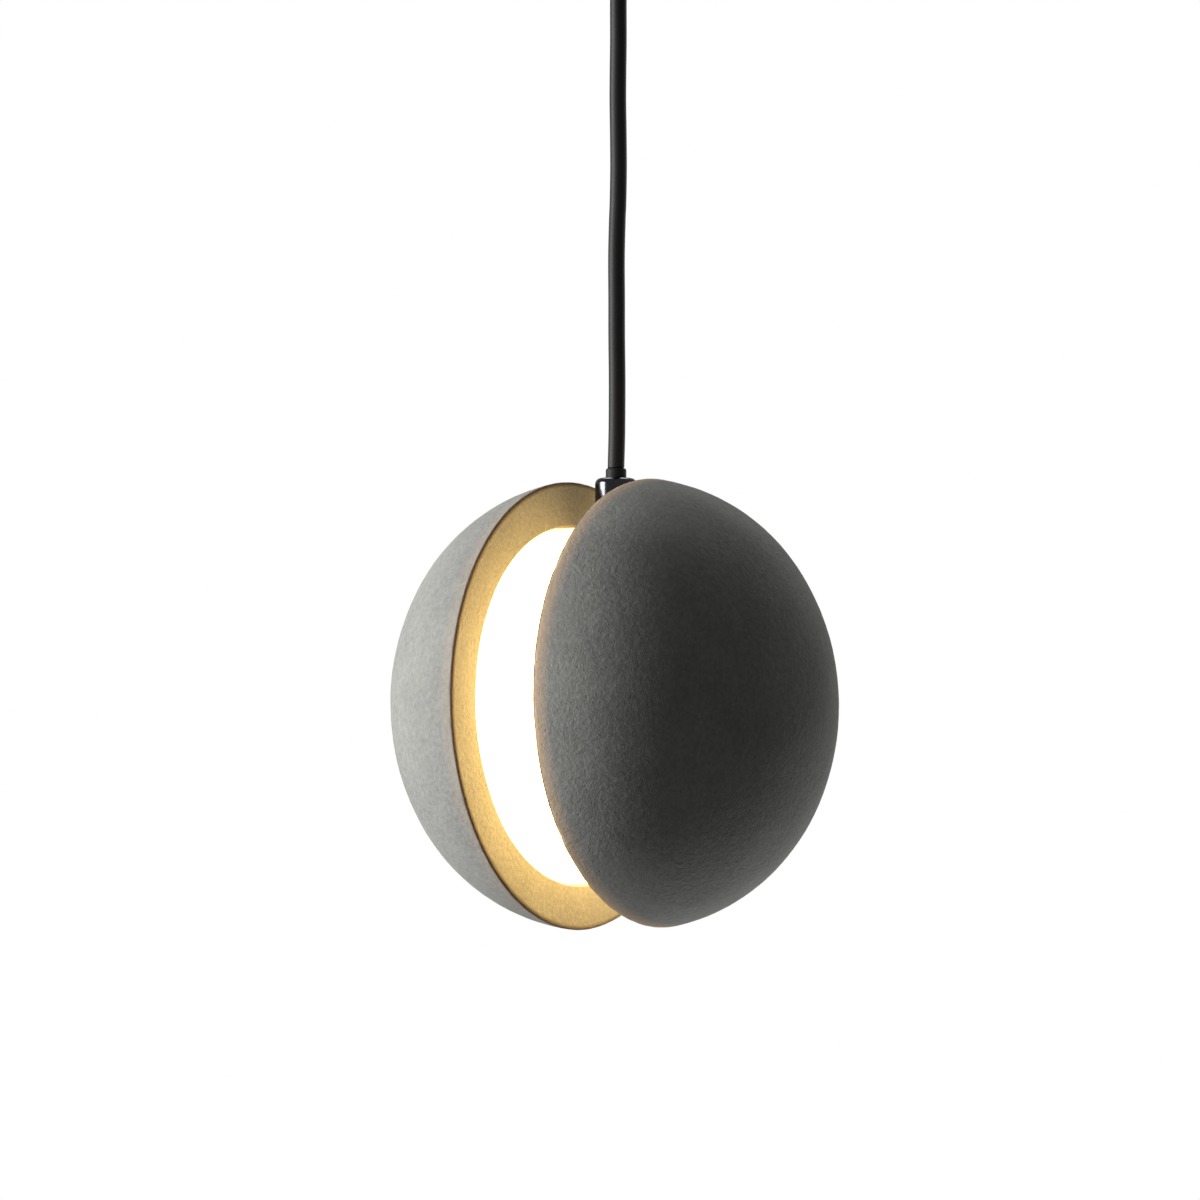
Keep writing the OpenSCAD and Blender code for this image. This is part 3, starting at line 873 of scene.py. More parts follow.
def ring_tree() -> bpy.types.NodeTree:
    """Builds the tree that copies a part round a circle and puts the ring in its place.

    Returns:
        The tree.
    """
    tree, given = open_tree(
        "ring_of_parts",
        [
            ("Count", "NodeSocketInt"),
            ("Radius", "NodeSocketFloat"),
            ("First angle", "NodeSocketFloat"),
            ("Step angle", "NodeSocketFloat"),
            ("Ring turn", "NodeSocketVector"),
            ("Ring centre", "NodeSocketVector"),
            ("Material", "NodeSocketMaterial"),
        ],
    )
    order = add_node(tree, "GeometryNodeInputIndex").outputs[0]
    turn = add_node(
        tree,
        "ShaderNodeMath",
        {0: order, 1: given.outputs["Step angle"], 2: given.outputs["First angle"]},
        operation="MULTIPLY_ADD",
    ).outputs[0]
    reach = []
    for wave in ("COSINE", "SINE"):
        share = add_node(tree, "ShaderNodeMath", {0: turn}, operation=wave).outputs[0]
        sockets = {0: share, 1: given.outputs["Radius"]}
        product = add_node(tree, "ShaderNodeMath", sockets, operation="MULTIPLY")
        reach.append(product.outputs[0])
    spot = add_node(tree, "ShaderNodeCombineXYZ", {"X": reach[0], "Y": reach[1]}).outputs[0]
    points = add_node(
        tree, "GeometryNodePoints", {"Count": given.outputs["Count"], "Position": spot}
    ).outputs[0]
    lean = add_node(tree, "ShaderNodeCombineXYZ", {"Z": turn}).outputs[0]
    copies = add_node(
        tree,
        "GeometryNodeInstanceOnPoints",
        {"Points": points, "Instance": given.outputs["Geometry"], "Rotation": lean},
    ).outputs[0]
    real = add_node(tree, "GeometryNodeRealizeInstances", {0: copies}).outputs[0]
    moved = add_node(
        tree,
        "GeometryNodeTransform",
        {
            "Geometry": real,
            "Rotation": given.outputs["Ring turn"],
            "Translation": given.outputs["Ring centre"],
        },
    ).outputs[0]
    close_tree(tree, given, moved)
    return tree


def cast_tree() -> bpy.types.NodeTree:
    """Builds the tree that roughens cast faces with grain, slow waves and a worn rim.

    Returns:
        The tree.
    """
    tree, given = open_tree(
        "cast_face",
        [
            ("Grain size", "NodeSocketFloat"),
            ("Grain height", "NodeSocketFloat"),
            ("Wave size", "NodeSocketFloat"),
            ("Wave height", "NodeSocketFloat"),
            ("Wear size", "NodeSocketFloat"),
            ("Wear depth", "NodeSocketFloat"),
            ("Seed", "NodeSocketFloat"),
            ("Material", "NodeSocketMaterial"),
        ],
    )
    place = add_node(tree, "GeometryNodeInputPosition").outputs[0]

    def bumps(size: str, height: str, mask: str, one_way: bool) -> Any:
        """Adds one pattern of heights.

        Args:
            size: name of the input with its feature size.
            height: name of the input with its height.
            mask: attribute of the mesh that says where it shows.
            one_way: whether it only cuts in, or also stands out.

        Returns:
            The height at each vertex.
        """
        scale = add_node(
            tree, "ShaderNodeMath", {0: 1.0, 1: given.outputs[size]}, operation="DIVIDE"
        ).outputs[0]
        noise = add_node(
            tree,
            "ShaderNodeTexNoise",
            {"Vector": place, "W": given.outputs["Seed"], "Scale": scale, "Detail": 2.0},
            noise_dimensions="4D",
        ).outputs[0]
        level = add_node(
            tree,
            "ShaderNodeMapRange",
            {
                "Value": noise,
                "From Min": 0.45 if one_way else 0.25,
                "From Max": 0.75,
                "To Min": 0.0 if one_way else -1.0,
                "To Max": -1.0 if one_way else 1.0,
            },
        ).outputs[0]
        shown = add_node(
            tree, "GeometryNodeInputNamedAttribute", {"Name": mask}, data_type="FLOAT"
        ).outputs[0]
        sized = add_node(
            tree, "ShaderNodeMath", {0: level, 1: given.outputs[height]}, operation="MULTIPLY"
        ).outputs[0]
        return add_node(
            tree, "ShaderNodeMath", {0: sized, 1: shown}, operation="MULTIPLY"
        ).outputs[0]

    parts = [
        bumps("Grain size", "Grain height", "cast_face", False),
        bumps("Wave size", "Wave height", "cast_face", False),
        bumps("Wear size", "Wear depth", "rim_edge", True),
    ]
    total = parts[0]
    for part in parts[1:]:
        total = add_node(tree, "ShaderNodeMath", {0: total, 1: part}, operation="ADD").outputs[0]
    way = add_node(tree, "GeometryNodeInputNormal").outputs[0]
    push = add_node(
        tree, "ShaderNodeVectorMath", {0: way, "Scale": total}, operation="SCALE"
    ).outputs[0]
    moved = add_node(
        tree, "GeometryNodeSetPosition", {"Geometry": given.outputs["Geometry"], "Offset": push}
    ).outputs[0]
    close_tree(tree, given, moved)
    return tree


# ---------------------------------------------------------------- the lamp


@dataclass
class Ring:
    """One part, repeated round an axis along X or Z."""

    name: str
    body: Body
    slot: Slot
    stands_for: tuple[str, ...]
    count: int
    radius: float
    first: float
    step: float
    turn: Point
    centre: Point

    def build(self, part: Mesh, tree: bpy.types.NodeTree, palette: Palette) -> bpy.types.Object:
        """Makes the ring of parts.

        Args:
            part: one part, with the ring's axis along its Z and outwards along its X.
            tree: the ring tree.
            palette: the finishes.

        Returns:
            The finished piece.
        """
        piece = grown(
            part.piece(self.name),
            tree,
            {
                "Count": self.count,
                "Radius": self.radius,
                "First angle": math.radians(self.first),
                "Step angle": math.radians(self.step),
                "Ring turn": tuple(math.radians(a) for a in self.turn),
                "Ring centre": self.centre,
                "Material": palette.materials[self.slot],
            },
        )
        return settle(piece, self.body, self.slot, palette, self.stands_for)


def settle(
    piece: bpy.types.Object,
    body: Body,
    slot: Slot,
    palette: Palette,
    stands_for: Sequence[str] = (),
) -> bpy.types.Object:
    """Finishes a piece: its material, its body, its slot and the nodes it replaces.

    Args:
        piece: the piece, in place.
        body: the body that it rides on.
        slot: the record's slot that its finish comes from.
        palette: the finishes.
        stands_for: CAD nodes that it replaces.

    Returns:
        The piece.
    """
    piece.data.materials.clear()
    piece.data.materials.append(palette.materials[slot])
    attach(piece, body.value)
    if stands_for:
        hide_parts(*stands_for)
    LOG.info("%s rides on %s, for %s", piece.name, body.value, ", ".join(stands_for) or "itself")
    return piece


@dataclass
class Cord:
    """The round cord, from the collar on the head up to the grip under the rose.

    route_mm repeats the points of its CAD solid, with the slight waves of a real one.
    """

    diameter: float = 6.0 * MM
    route_mm: tuple[Point, ...] = (
        (0, 0, -231.5),
        (0, 0, -229.5),
        (0.2, 0.1, -218),
        (0.2, 0.1, -200),
        (0, 0, -185),
        (-0.1, 0, -171),
        (-0.2, -0.1, -156),
        (0, 0, -143),
        (0.2, 0.1, -136),
        (0.3, 0.2, -124),
        (0.2, 0.1, -112),
        (0, 0, -100),
        (0, 0, -90),
        (0.1, 0, -78),
        (0, 0, -66),
        (0, 0, -54),
    )
    step: float = 1.2 * MM
    sides: int = 40

    def build(self, palette: Palette) -> bpy.types.Object:
        """Args:
            palette: the finishes.

        Returns:
            The cord.
        """
        route = [tuple(MM * c for c in point) for point in self.route_mm]
        path = smooth_path(route, self.step)
        piece = swept(path, self.diameter / 2, self.sides).piece("cord_flex")
        settle(piece, Body.CORD, Slot.SHEATH, palette, ["cord"])
        return piece


@dataclass(frozen=True)
class Lead:
    """One piece made of one or more runs of round lead or cord."""

    name: str
    body: Body
    slot: Slot
    stands_for: str
    radius: float
    runs: tuple[tuple[Point, ...], ...]


@dataclass
class Leads:
    """The cord's ends inside the fittings, and the insulated leads.

    The fields that end in _mm are routes in millimetres. wire_mm is half of a mirrored
    pair, as (Y, height over the head's axis), and output_mm is half of another.
    """

    wire_r: float = 0.9 * MM
    step: float = 0.8 * MM
    sides: int = 16
    wire_mm: tuple[tuple[float, float], ...] = (
        (1.5, 12),
        (1.5, 10.5),
        (3, 8),
        (3, 0),
        (3, -12),
        (3, -30),
        (1.5, -36),
        (1.5, -42),
    )
    output_mm: tuple[Point, ...] = (
        (1.5, 0, -12),
        (1.5, 0, -10.8),
        (1.8, 1, -9),
        (2.5, 3, -7.8),
        (5, 6.5, -9),
        (7, 9.5, -12),
        (7.5, 12, -15),
        (7.5, 14, -16),
        (7.5, 15.95, -16),
    )
    supply_x: float = 9.0
    supply_mm: tuple[Point, ...] = (
        (1, -25, -9),
        (1, -17, -9),
        (1.6, -10, -14),
        (2.2, 0, -16),
        (2.2, 8, -13),
        (2.2, 13, -11),
        (2.2, 15.95, -11),
    )
    earth_mm: tuple[Point, ...] = (
        (0, -29, -9),
        (0, -36, -9),
        (3, -40, -9),
        (10, -39, -9),
        (17, -38, -7),
        (22, -35, -4.5),
        (24, -31, -3),
        (24, -28.1, -3),
    )

    def wire(self, side: int) -> tuple[Point, ...]:
        """A wire from the cord's end through the connector to the LED strip."""
        middle = middle_z("shell_left") / MM
        return tuple((0, side * y, middle + z) for y, z in self.wire_mm)

    def output(self, side: int) -> tuple[Point, ...]:
        """A lead from the cord's end in the rose to the driver's output."""
        return tuple((side * x, y, z) for x, y, z in self.output_mm)

    def supply(self, side: int) -> tuple[Point, ...]:
        """A lead from the terminal block to the driver's input."""
        return tuple((side * self.supply_x * x, y, z) for x, y, z in self.supply_mm)

    def upright(self, node: str) -> tuple[Point, ...]:
        """A straight run on the lamp's axis from the bottom to the top of a node."""
        low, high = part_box(node)
        return (0, 0, low.z / MM), (0, 0, high.z / MM)

    def parts(self) -> list[Lead]:
        """Lists every lead with its routes.

        Returns:
            The leads, those of the head before those of the rose.
        """
        low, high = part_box("head_cord_end")
        cord_r = (high.x - low.x) / 2
        head, rose, thin = Body.HEAD, Body.CEILING, self.wire_r
        in_head = (self.upright("head_cord_end"),)
        in_rose = (self.upright("rose_cord_end"),)
        outputs = (self.output(-1), self.output(1))
        supplies = (self.supply(-1), self.supply(1))
        return [
            Lead("cord_in_head", head, Slot.SHEATH, "head_cord_end", cord_r, in_head),
            Lead("cord_in_rose", rose, Slot.SHEATH, "rose_cord_end", cord_r, in_rose),
            Lead("live_wire", head, Slot.BROWN, "wire_live", thin, (self.wire(1),)),
            Lead("neutral_wire", head, Slot.BLUE, "wire_neutral", thin, (self.wire(-1),)),
            Lead("driver_output", rose, Slot.BLUE, "output_leads", thin, outputs),
            Lead("driver_supply", rose, Slot.BROWN, "input_leads", thin, supplies),
            Lead("earth_wire", rose, Slot.GREEN, "earth_lead", thin, (self.earth_mm,)),
        ]

    def build(self, palette: Palette) -> None:
        """Makes every lead.

        Args:
            palette: the finishes.
        """
        for lead in self.parts():
            made = Mesh()
            for run in lead.runs:
                path = smooth_path([tuple(MM * c for c in point) for point in run], self.step)
                made.add(swept(path, lead.radius, self.sides))
            settle(made.piece(lead.name), lead.body, lead.slot, palette, [lead.stands_for])


@dataclass
class Dome:
    """One cast dome: an oval shell with a worn rim, a recess and three bosses."""

    side: Side
    shoulder_r: float = 64.0 * MM
    widest_back: float = 9.0 * MM
    edge_r: float = 0.8 * MM
    # width of the band of painted light, the drum's glow, on the outside behind the rim
    painted_glow_width: float = 6.5 * MM
    recess_r: float = 64.0 * MM
    recess_depth: float = 8.0 * MM
    chamfer: float = 0.6 * MM
    hollow_r: float = 56.0 * MM
    thickness: float = 13.0 * MM
    boss_r: float = 8.0 * MM
    boss_bore: float = 3.05 * MM
    boss_at: float = 50.0 * MM
    boss_reach: float = 26.0 * MM
    boss_turns: tuple[float, ...] = (60.0, 180.0, 300.0)
    grain_size: float = 3.2 * MM
    grain_height: float = 0.05 * MM
    wave_size: float = 26 * MM
    wave_height: float = 0.12 * MM
    wear_size: float = 5 * MM
    wear_depth: float = 0.2 * MM
    segments: int = 480
    step: float = 0.95 * MM

    @property
    def node(self) -> str:
        """The CAD node that it replaces."""
        return "shell_left" if self.side is Side.LEFT else "shell_right"

    @property
    def handling(self) -> float:
        """Share of the painted light, the drum's warm glow, on the outside behind its rim. It is
        full on the right dome, which comes off, and weaker on the left.
        """
        return 0.3 if self.side is Side.LEFT else 1.0

    def skins(self) -> dict[Skin, list[tuple[float, float]]]:
        """Half section from the crown outside to the crown inside.

        Returns:
            Points of each skin, as (distance from the X axis, distance behind the rim).
        """
        low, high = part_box(self.node)
        head_r, depth = (high.z - low.z) / 2, high.x - low.x
        slope = math.asin((self.widest_back + self.edge_r) / (self.shoulder_r - self.edge_r))
        shoulder = head_r - self.shoulder_r * math.cos(slope)
        reach = depth + self.widest_back
        crown_r = (reach**2 + shoulder**2 - self.shoulder_r**2) / (2 * (reach - self.shoulder_r))
        crown = depth - crown_r
        join = math.atan2(shoulder, -self.widest_back - crown)
        rim = math.pi / 2 - slope

        def arc(
            across: float, out: float, r: float, start: float, end: float, count: int
        ) -> list[tuple[float, float]]:
            """Runs points along an arc.

            Args:
                across: the centre's distance from the X axis.
                out: the centre's distance behind the rim.
                r: the arc's radius.
                start: angle of the first point from the X axis, in radians.
                end: angle of the last point.
                count: number of steps.

            Returns:
                The points, with both ends.
            """
            turns = (start + (end - start) * k / count for k in range(count + 1))
            return [(across + r * math.sin(a), out + r * math.cos(a)) for a in turns]

        back, inner_r = -self.widest_back, self.shoulder_r - self.thickness
        outside = arc(0, crown, crown_r, 0, join, round(crown_r * join / self.step))
        run = round(self.shoulder_r * (rim - join) / self.step)
        outside += arc(shoulder, back, self.shoulder_r, join, rim, run)[1:]
        edge_mid = shoulder + (self.shoulder_r - self.edge_r) * math.cos(slope)
        edge = arc(edge_mid, self.edge_r, self.edge_r, rim, math.pi, 8)[1:]
        width = edge_mid - self.recess_r - self.chamfer
        count = round(width / self.step)
        face = [(edge_mid - width * k / count, 0.0) for k in range(1, count + 1)]
        inside = [
            (self.recess_r, self.chamfer),
            (self.recess_r, self.recess_depth),
            (self.hollow_r, self.recess_depth),
        ]
        start = math.asin((self.hollow_r - shoulder) / inner_r)
        inside += arc(shoulder, back, inner_r, start, join, 8)
        inside += arc(0, crown, crown_r - self.thickness, join, 0, 14)[1:]
        return {Skin.OUTSIDE: outside, Skin.EDGE: edge, Skin.FACE: face, Skin.INSIDE: inside}

    def build(self, tree: bpy.types.NodeTree, palette: Palette) -> bpy.types.Object:
        """Makes the dome.

        Args:
            tree: the tree that roughens cast faces.
            palette: the finishes.

        Returns:
            The finished dome.
        """
        low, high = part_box(self.node)
        skins = self.skins()
        section = [(max(across, 0.0), out, 0) for run in skins.values() for across, out in run]
        section[0], section[-1] = (0, section[0][1], 0), (0, section[-1][1], 0)
        shell = turned(section, self.segments)
        rows = [skin for skin, run in skins.items() for _ in run]
        rings = [skin for skin in rows[1:-1] for _ in range(self.segments)]
        marks = [rows[0], *rings, rows[-1]]
        cast = [0.0 if skin is Skin.INSIDE else 1.0 for skin in marks]
        worn = [1.0 if skin is Skin.EDGE else 0.0 for skin in marks]
        # Painted light: the drum's warm glow on the outside, fading out over a band behind the
        # rim.
        painted_glow = [
            self.handling * max(0.0, 1 - v.z / self.painted_glow_width) * (skin is Skin.OUTSIDE)
            for skin, v in zip(marks, shell.vertices)
        ]
        boss = turned(
            [
                (self.boss_bore, self.recess_depth, 0),
                (self.boss_r, self.recess_depth, 0),
                (self.boss_r, self.boss_reach, 0),
                (self.boss_bore, self.boss_reach, 0),
            ],
            48,
        )
        for turn in self.boss_turns:
            spin = Matrix.Rotation(math.radians(turn), 4, "Z")
            shell.add(boss, spin @ Matrix.Translation((self.boss_at, 0, 0)))
        sign = self.side.value
        rim_x = high.x if self.side is Side.LEFT else low.x
        middle = middle_z(self.node)
        shell.vertices = [
            Vector((rim_x + sign * v.z, v.y, middle - v.x)) for v in shell.vertices
        ]
        base = shell.piece("dome_" + self.side.name.lower())
        for label, shares in (("cast_face", cast), ("rim_edge", worn), ("painted_glow", painted_glow)):
            held = base.data.attributes.new(label, "FLOAT", "POINT")
            plain = [0.0] * (len(shell.vertices) - len(shares))
            held.data.foreach_set("value", shares + plain)
        piece = grown(
            base,
            tree,
            {
                "Grain size": self.grain_size,
                "Grain height": self.grain_height,
                "Wave size": self.wave_size,
                "Wave height": self.wave_height,
                "Wear size": self.wear_size,
                "Wear depth": self.wear_depth,
                "Seed": 3.0 if self.side is Side.LEFT else 8.0,
                "Material": palette.materials[Slot.CONCRETE],
            },
        )
        body = Body.HEAD if self.side is Side.LEFT else Body.RIGHT_DOME
        return settle(piece, body, Slot.CONCRETE, palette, [self.node])


@dataclass
class LightUnit:
    """The parts on the hub: LED packages and the screws that hold it together."""

    package: Point = (0.9 * MM, 2.8 * MM, 3.5 * MM)
    lens_r: float = 1.05 * MM
    chip_count: int = 36
    strip_break: float = 14.0
    chip_margin: float = 4.0
    hub_screws_at: float = 35 * MM
    dome_screws_at: float = 50 * MM

    def chips(self, name: str, slot: Slot) -> Ring:
        """Lays out one ring of LED pieces on the strip.

        Args:
            name: the ring's name.
            slot: the record's slot that its finish comes from.

        Returns:
            The ring, open at the top where the stem comes in.
        """
        low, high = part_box("led_chips")
        spare = self.strip_break + self.chip_margin
        return Ring(
            name=name,
            body=Body.HEAD,
            slot=slot,
            stands_for=("led_chips",),
            count=self.chip_count,
            radius=(high.y - low.y) / 2 - self.package[0],
            first=180 + spare,
            step=(360 - 2 * spare) / (self.chip_count - 1),
            turn=(0, 90, 0),
            centre=(0, 0, middle_z("led_hub")),
        )

    def screws(
        self, name: str, node: str, body: Body, radius: float, first: float, side: Side, x: float
    ) -> Ring:
        """Lays out three screws on a flange or plate.

        Args:
            name: the ring's name.
            node: the CAD node that it replaces.
            body: the body that it rides on.
            radius: the screws' distance from the head's axis.
            first: angle of the first screw, in degrees.
            side: the side that the heads face.
            x: where the undersides of the heads stand.

        Returns:
            The ring.
        """
        return Ring(
            name=name,
            body=body,
            slot=Slot.ZINC,
            stands_for=(node,),
            count=3,
            radius=radius,
            first=first,
            step=120,
            turn=(0, 90 * side.value, 0),
            centre=(x, 0, middle_z("led_hub")),
        )

    def rings(self) -> list[tuple[Ring, Mesh]]:
        """Lists every ring of parts.

        Returns:
            Each ring with one of its parts.
        """
        m3 = socket_screw(1.5 * MM, 8 * MM, 2.75 * MM, 1.8 * MM)
        m4 = socket_screw(2 * MM, 10 * MM, 3.5 * MM, 2.4 * MM)
        m4_low = socket_screw(2 * MM, 10 * MM, 3.5 * MM, 1.4 * MM)
        near, far = self.hub_screws_at, self.dome_screws_at
        head, dome = Body.HEAD, Body.RIGHT_DOME
        left_out, left_in = (corner.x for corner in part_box("left_flange"))
        right_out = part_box("right_flange")[1].x
        lock_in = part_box("lock_plate")[0].x
        rows = [
            ("hub_screws_left", "m3", head, near, 30, Side.LEFT, left_out, m3),
            ("hub_screws_right", "m3", head, near, 30, Side.RIGHT, right_out, m3),
            ("flange_screws", "m4", head, far, 60, Side.RIGHT, left_in, m4),
            ("lock_plate_screws", "m4", dome, far, 0, Side.LEFT, lock_in, m4_low),
        ]
        made = [
            (self.chips("led_packages", Slot.PLASTIC), self.package_mesh()),
            (self.chips("led_lenses", Slot.PHOSPHOR), self.lens_mesh()),
        ]
        for node, thread, body, radius, first, side, x, screw in rows:
            name = f"{node.replace('_plate', '')}_{thread}"
            made.append((self.screws(name, node, body, radius, first, side, x), screw))
        return made

    def package_mesh(self) -> Mesh:
        """Makes a low LED package with bevelled edges.

        Returns:
            The package, with its back at 0 of its own X.
        """
        thick, wide, tall = self.package
        edge = 0.15 * MM
        made = Mesh()
        for x, inset in ((0, 0), (thick - edge, 0), (thick, edge)):
            for y, z in ((-1, -1), (1, -1), (1, 1), (-1, 1)):
                corner = (x, y * (wide / 2 - inset), z * (tall / 2 - inset))
                made.vertices.append(Vector(corner))
        for row in (0, 4):
            for k in range(4):
                following = (k + 1) % 4
                made.faces.append([row + k, row + following, row + following + 4, row + k + 4])
        made.faces += [[3, 2, 1, 0], [8, 9, 10, 11]]
        return made

    def lens_mesh(self) -> Mesh:
        """Makes the round phosphor lens on the front of a package.

        Returns:
            The lens, in its place on the package.
        """
        r = self.lens_r
        crown = [(r, 0.04 * MM, 0), (r * 0.7, 0.1 * MM, 0), (0, 0.14 * MM, 0)]
        lens = turned([(0, 0, 0), (r, 0, 0), *crown], 16)
        front = Matrix.Translation((self.package[0], 0, 0))
        place = front @ Matrix.Rotation(math.pi / 2, 4, "Y")
        return Mesh().add(lens, place)

    def build(self, tree: bpy.types.NodeTree, palette: Palette) -> None:
        """Makes every ring.

        Args:
            tree: the ring tree.
            palette: the finishes.
        """
        for ring, part in self.rings():
            ring.build(part, tree, palette)


@dataclass
class Collar:
    """The rubber collar on the gland, with a soft round lip against the cord."""

    bore_r: float = 3.05 * MM
    lip: float = 0.9 * MM

    def build(self, palette: Palette) -> None:
        """Makes the collar.

        Args:
            palette: the finishes.
        """
        low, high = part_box("cord_collar")
        radius, lip = (high.x - low.x) / 2, self.lip
        mouth = min(lip, radius - self.bore_r)
        turns = [math.pi / 2 * k / 8 for k in range(9)]
        section = [(self.bore_r, low.z, 0), (radius, low.z, 0)]
        section += [
            (radius - mouth * (1 - math.cos(a)), high.z - lip + lip * math.sin(a), 0)
            for a in turns[:-1]
        ]
        section.append((self.bore_r, high.z, 0))
        piece = turned(section, 64).piece("cord_collar_soft")
        settle(piece, Body.HEAD, Slot.RUBBER, palette, ["cord_collar"])


@dataclass
class Grip:
    """The swivel grip under the rose: fine ribs round its screw cap."""

    rib_count: int = 60
    rib_height: float = 0.25 * MM
    rib_half: float = 0.3 * MM
    rib_root: float = 0.2 * MM
    margin: float = 1.3 * MM

    def build(self, tree: bpy.types.NodeTree, palette: Palette) -> None:
        """Makes the ribs on the screw cap.

        Args:
            tree: the ring tree.
            palette: the finishes.
        """
        low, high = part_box("grip_cap")
        radius = (high.x - low.x) / 2
        bottom, top = low.z + self.margin, high.z - self.margin / 3
        half, tall = self.rib_half, self.rib_height
        sunk = -self.rib_root
        outline = [
            (sunk, -half),
            (0, -half),
            (tall, -half / 3),
            (tall, half / 3),
            (0, half),
            (sunk, half),
        ]
        rib = Mesh([Vector((x, y, z)) for z in (bottom, top) for x, y in outline])
        count = len(outline)
        for k in range(count):
            following = (k + 1) % count
            rib.faces.append([k, following, following + count, k + count])
        rib.faces += [list(range(count))[::-1], [count + k for k in range(count)]]
        ring = Ring(
            name="grip_cap_ribs",
            body=Body.CEILING,
            slot=Slot.ENAMEL,
            stands_for=(),
            count=self.rib_count,
            radius=radius,
            first=0.0,
            step=360 / self.rib_count,
            turn=(0, 0, 0),
            centre=(0, 0, 0),
        )
        ring.build(rib, tree, palette)


# ---------------------------------------------------------------- the studio


@dataclass(frozen=True)
class Softbox:
    """One rectangular soft light, aimed at the head. It doesn't show itself."""

    name: str
    azimuth: float
    elevation: float
    distance: float
    width: float
    height: float
    power: float
    colour: str = "#ffffff"


def direction(azimuth: float, elevation: float) -> Vector:
    """Points from the lamp to a place round it.

    Args:
        azimuth: degrees round the lamp: 0 is -Y and 90 is +X.
        elevation: degrees above the level.

    Returns:
        The unit vector.
    """
    a, e = math.radians(azimuth), math.radians(elevation)
    return Vector((math.sin(a) * math.cos(e), -math.cos(a) * math.cos(e), math.sin(e)))


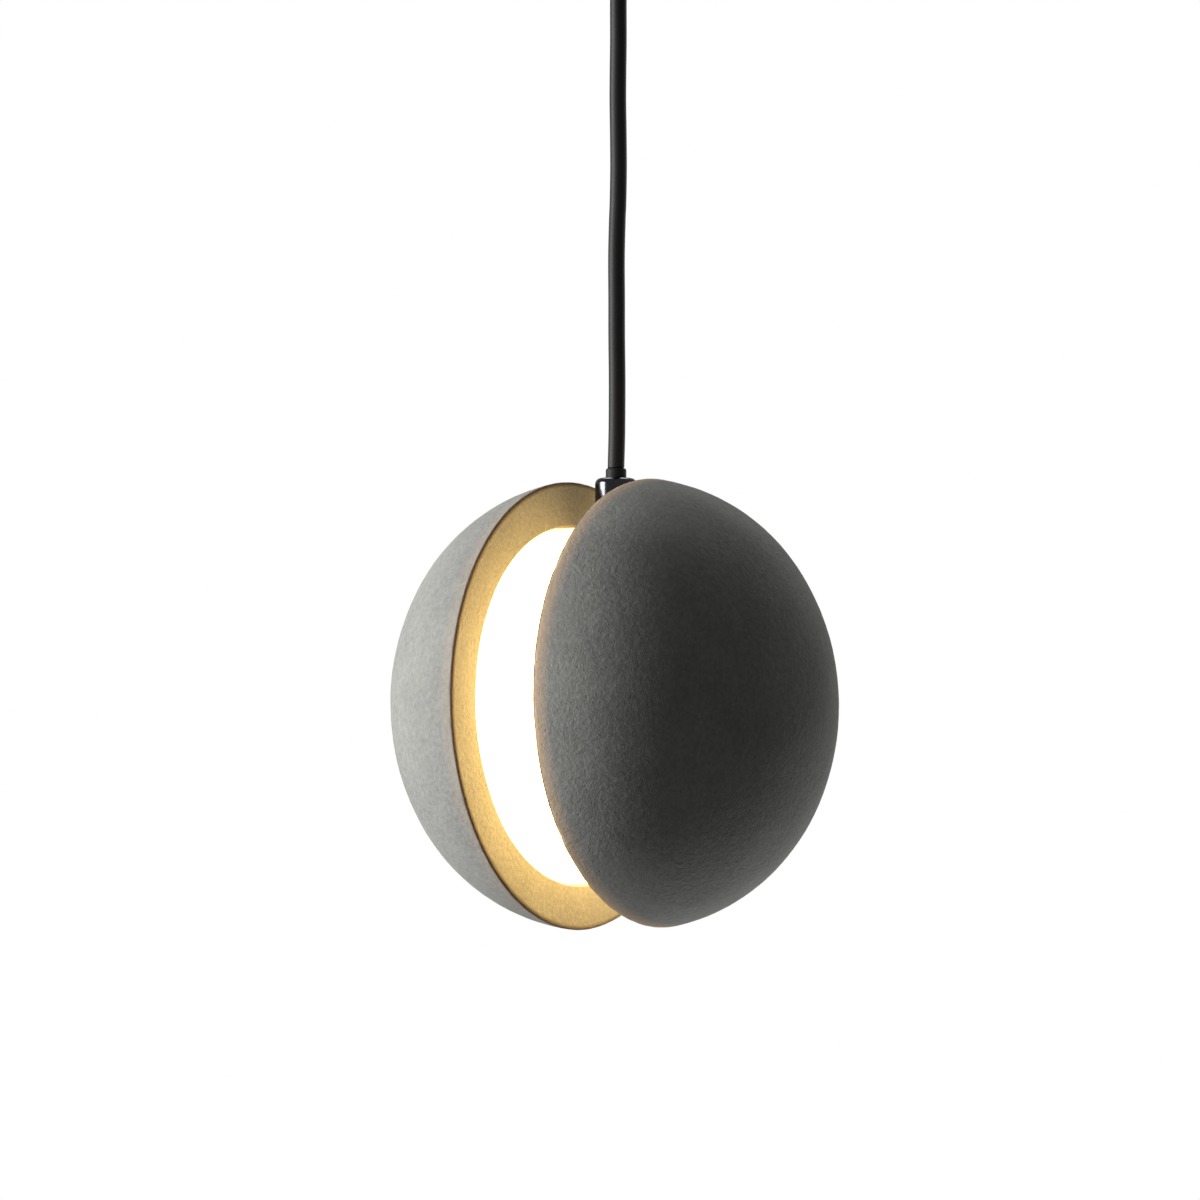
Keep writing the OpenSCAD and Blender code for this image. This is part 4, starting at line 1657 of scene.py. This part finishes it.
@dataclass
class Studio:
    """The camera, soft lights, pale floor and white surroundings."""

    azimuth: float = 33.1
    elevation: float = -3.9
    roll: float = 0.28
    lens: float = 700.0
    sensor: float = 36.0
    frame_width: float = 0.4282
    head_right: float = 0.00552
    head_below: float = 0.0373
    floor_z: float = -2.6
    floor_half: float = 40.0
    ambient: float = 0.1
    mirrored: float = 0.35
    softboxes: tuple[Softbox, ...] = (
        Softbox("key_left", -48, 5, 2.2, 1.2, 1.4, 106),
        Softbox("back_high", 215, 60, 2.2, 1.6, 1.0, 25),
        Softbox("back_low", 193, -45, 2.2, 1.4, 0.8, 30),
        Softbox("fill_right", 172, 5, 2.4, 1.6, 1.6, 14),
    )

    def build(self) -> None:
        """Makes the studio round the lamp."""
        centre = Vector((0, 0, middle_z("shell_left")))
        self.camera(centre)
        for box in self.softboxes:
            self.light(box, centre)
        self.floor()
        self.surroundings()
        bpy.context.scene.view_settings.view_transform = "Standard"

    def camera(self, centre: Vector) -> None:
        """Places the long-lens camera, a little below the head and rolled by a hair.

        Args:
            centre: the head's centre.
        """
        back = direction(self.azimuth, self.elevation)
        round_z = math.radians(self.azimuth)
        right = Vector((math.cos(round_z), math.sin(round_z), 0))
        up = back.cross(right)
        aim = centre - right * self.head_right + up * self.head_below
        lean = math.radians(self.roll)
        side = right * math.cos(lean) + up * math.sin(lean)
        top = up * math.cos(lean) - right * math.sin(lean)
        data = bpy.data.cameras.new("camera")
        data.lens, data.sensor_width = self.lens, self.sensor
        data.clip_start, data.clip_end = 0.1, 200
        camera = bpy.data.objects.new("camera", data)
        bpy.context.scene.collection.objects.link(camera)
        place = Matrix((side, top, back)).transposed().to_4x4()
        place.translation = aim + back * (self.lens / self.sensor * self.frame_width)
        camera.matrix_world = place
        bpy.context.scene.camera = camera

    def light(self, box: Softbox, centre: Vector) -> None:
        """Places one soft light, facing the head.

        Args:
            box: the light.
            centre: the head's centre.
        """
        data = bpy.data.lights.new(box.name, "AREA")
        data.shape, data.size, data.size_y = "RECTANGLE", box.width, box.height
        data.energy, data.color = box.power, linear(box.colour)[:3]
        lamp = bpy.data.objects.new(box.name, data)
        bpy.context.scene.collection.objects.link(lamp)
        away = direction(box.azimuth, box.elevation)
        lamp.location = centre + away * box.distance
        lamp.rotation_euler = away.to_track_quat("Z", "Y").to_euler()
        lamp.visible_camera = False

    def floor(self) -> None:
        """Lays a plain pale floor that doesn't throw its own light on the lamp."""
        half, z = self.floor_half, self.floor_z
        corners = [(-half, -half, z), (half, -half, z), (half, half, z), (-half, half, z)]
        mesh = bpy.data.meshes.new("floor")
        mesh.from_pydata(corners, [], [[0, 1, 2, 3]])
        floor = bpy.data.objects.new("floor", mesh)
        bpy.context.scene.collection.objects.link(floor)
        paint = bpy.data.materials.new("pale_floor")
        paint.use_nodes = True
        paint.node_tree.nodes.clear()
        pale = add_node(
            paint.node_tree, "ShaderNodeEmission", {"Color": linear("#fbfbfa"), "Strength": 1.0}
        )
        add_node(paint.node_tree, "ShaderNodeOutputMaterial", {"Surface": pale.outputs[0]})
        mesh.materials.append(paint)
        floor.visible_diffuse = floor.visible_glossy = floor.visible_transmission = False

    def surroundings(self) -> None:
        """A white backdrop all round. It lights the lamp dimly and shines in its gloss."""
        world = bpy.data.worlds.new("white_studio")
        bpy.context.scene.world = world
        world.use_nodes = True
        tree = world.node_tree
        tree.nodes.clear()
        rays = add_node(tree, "ShaderNodeLightPath").outputs
        dim, glossy, white = (
            add_node(
                tree, "ShaderNodeBackground", {"Color": (1, 1, 1, 1), "Strength": level}
            ).outputs[0]
            for level in (self.ambient, self.mirrored, 1.0)
        )
        for ray, shown in ((rays["Is Glossy Ray"], glossy), (rays["Is Camera Ray"], white)):
            dim = add_node(tree, "ShaderNodeMixShader", {0: ray, 1: dim, 2: shown}).outputs[0]
        add_node(tree, "ShaderNodeOutputWorld", {"Surface": dim})


def main() -> None:
    """Builds the studio and the lamp, piece by piece."""
    logging.basicConfig(level=logging.INFO, format="%(name)s: %(message)s")
    Studio().build()
    palette = Palette(middle_z("diffuser_drum"))
    palette.dress_frame()
    Cord().build(palette)
    Leads().build(palette)
    grain, ring = cast_tree(), ring_tree()
    for side in Side:
        Dome(side).build(grain, palette)
    LightUnit().build(ring, palette)
    Grip().build(ring, palette)
    Collar().build(palette)


if __name__ == "__main__":
    main()
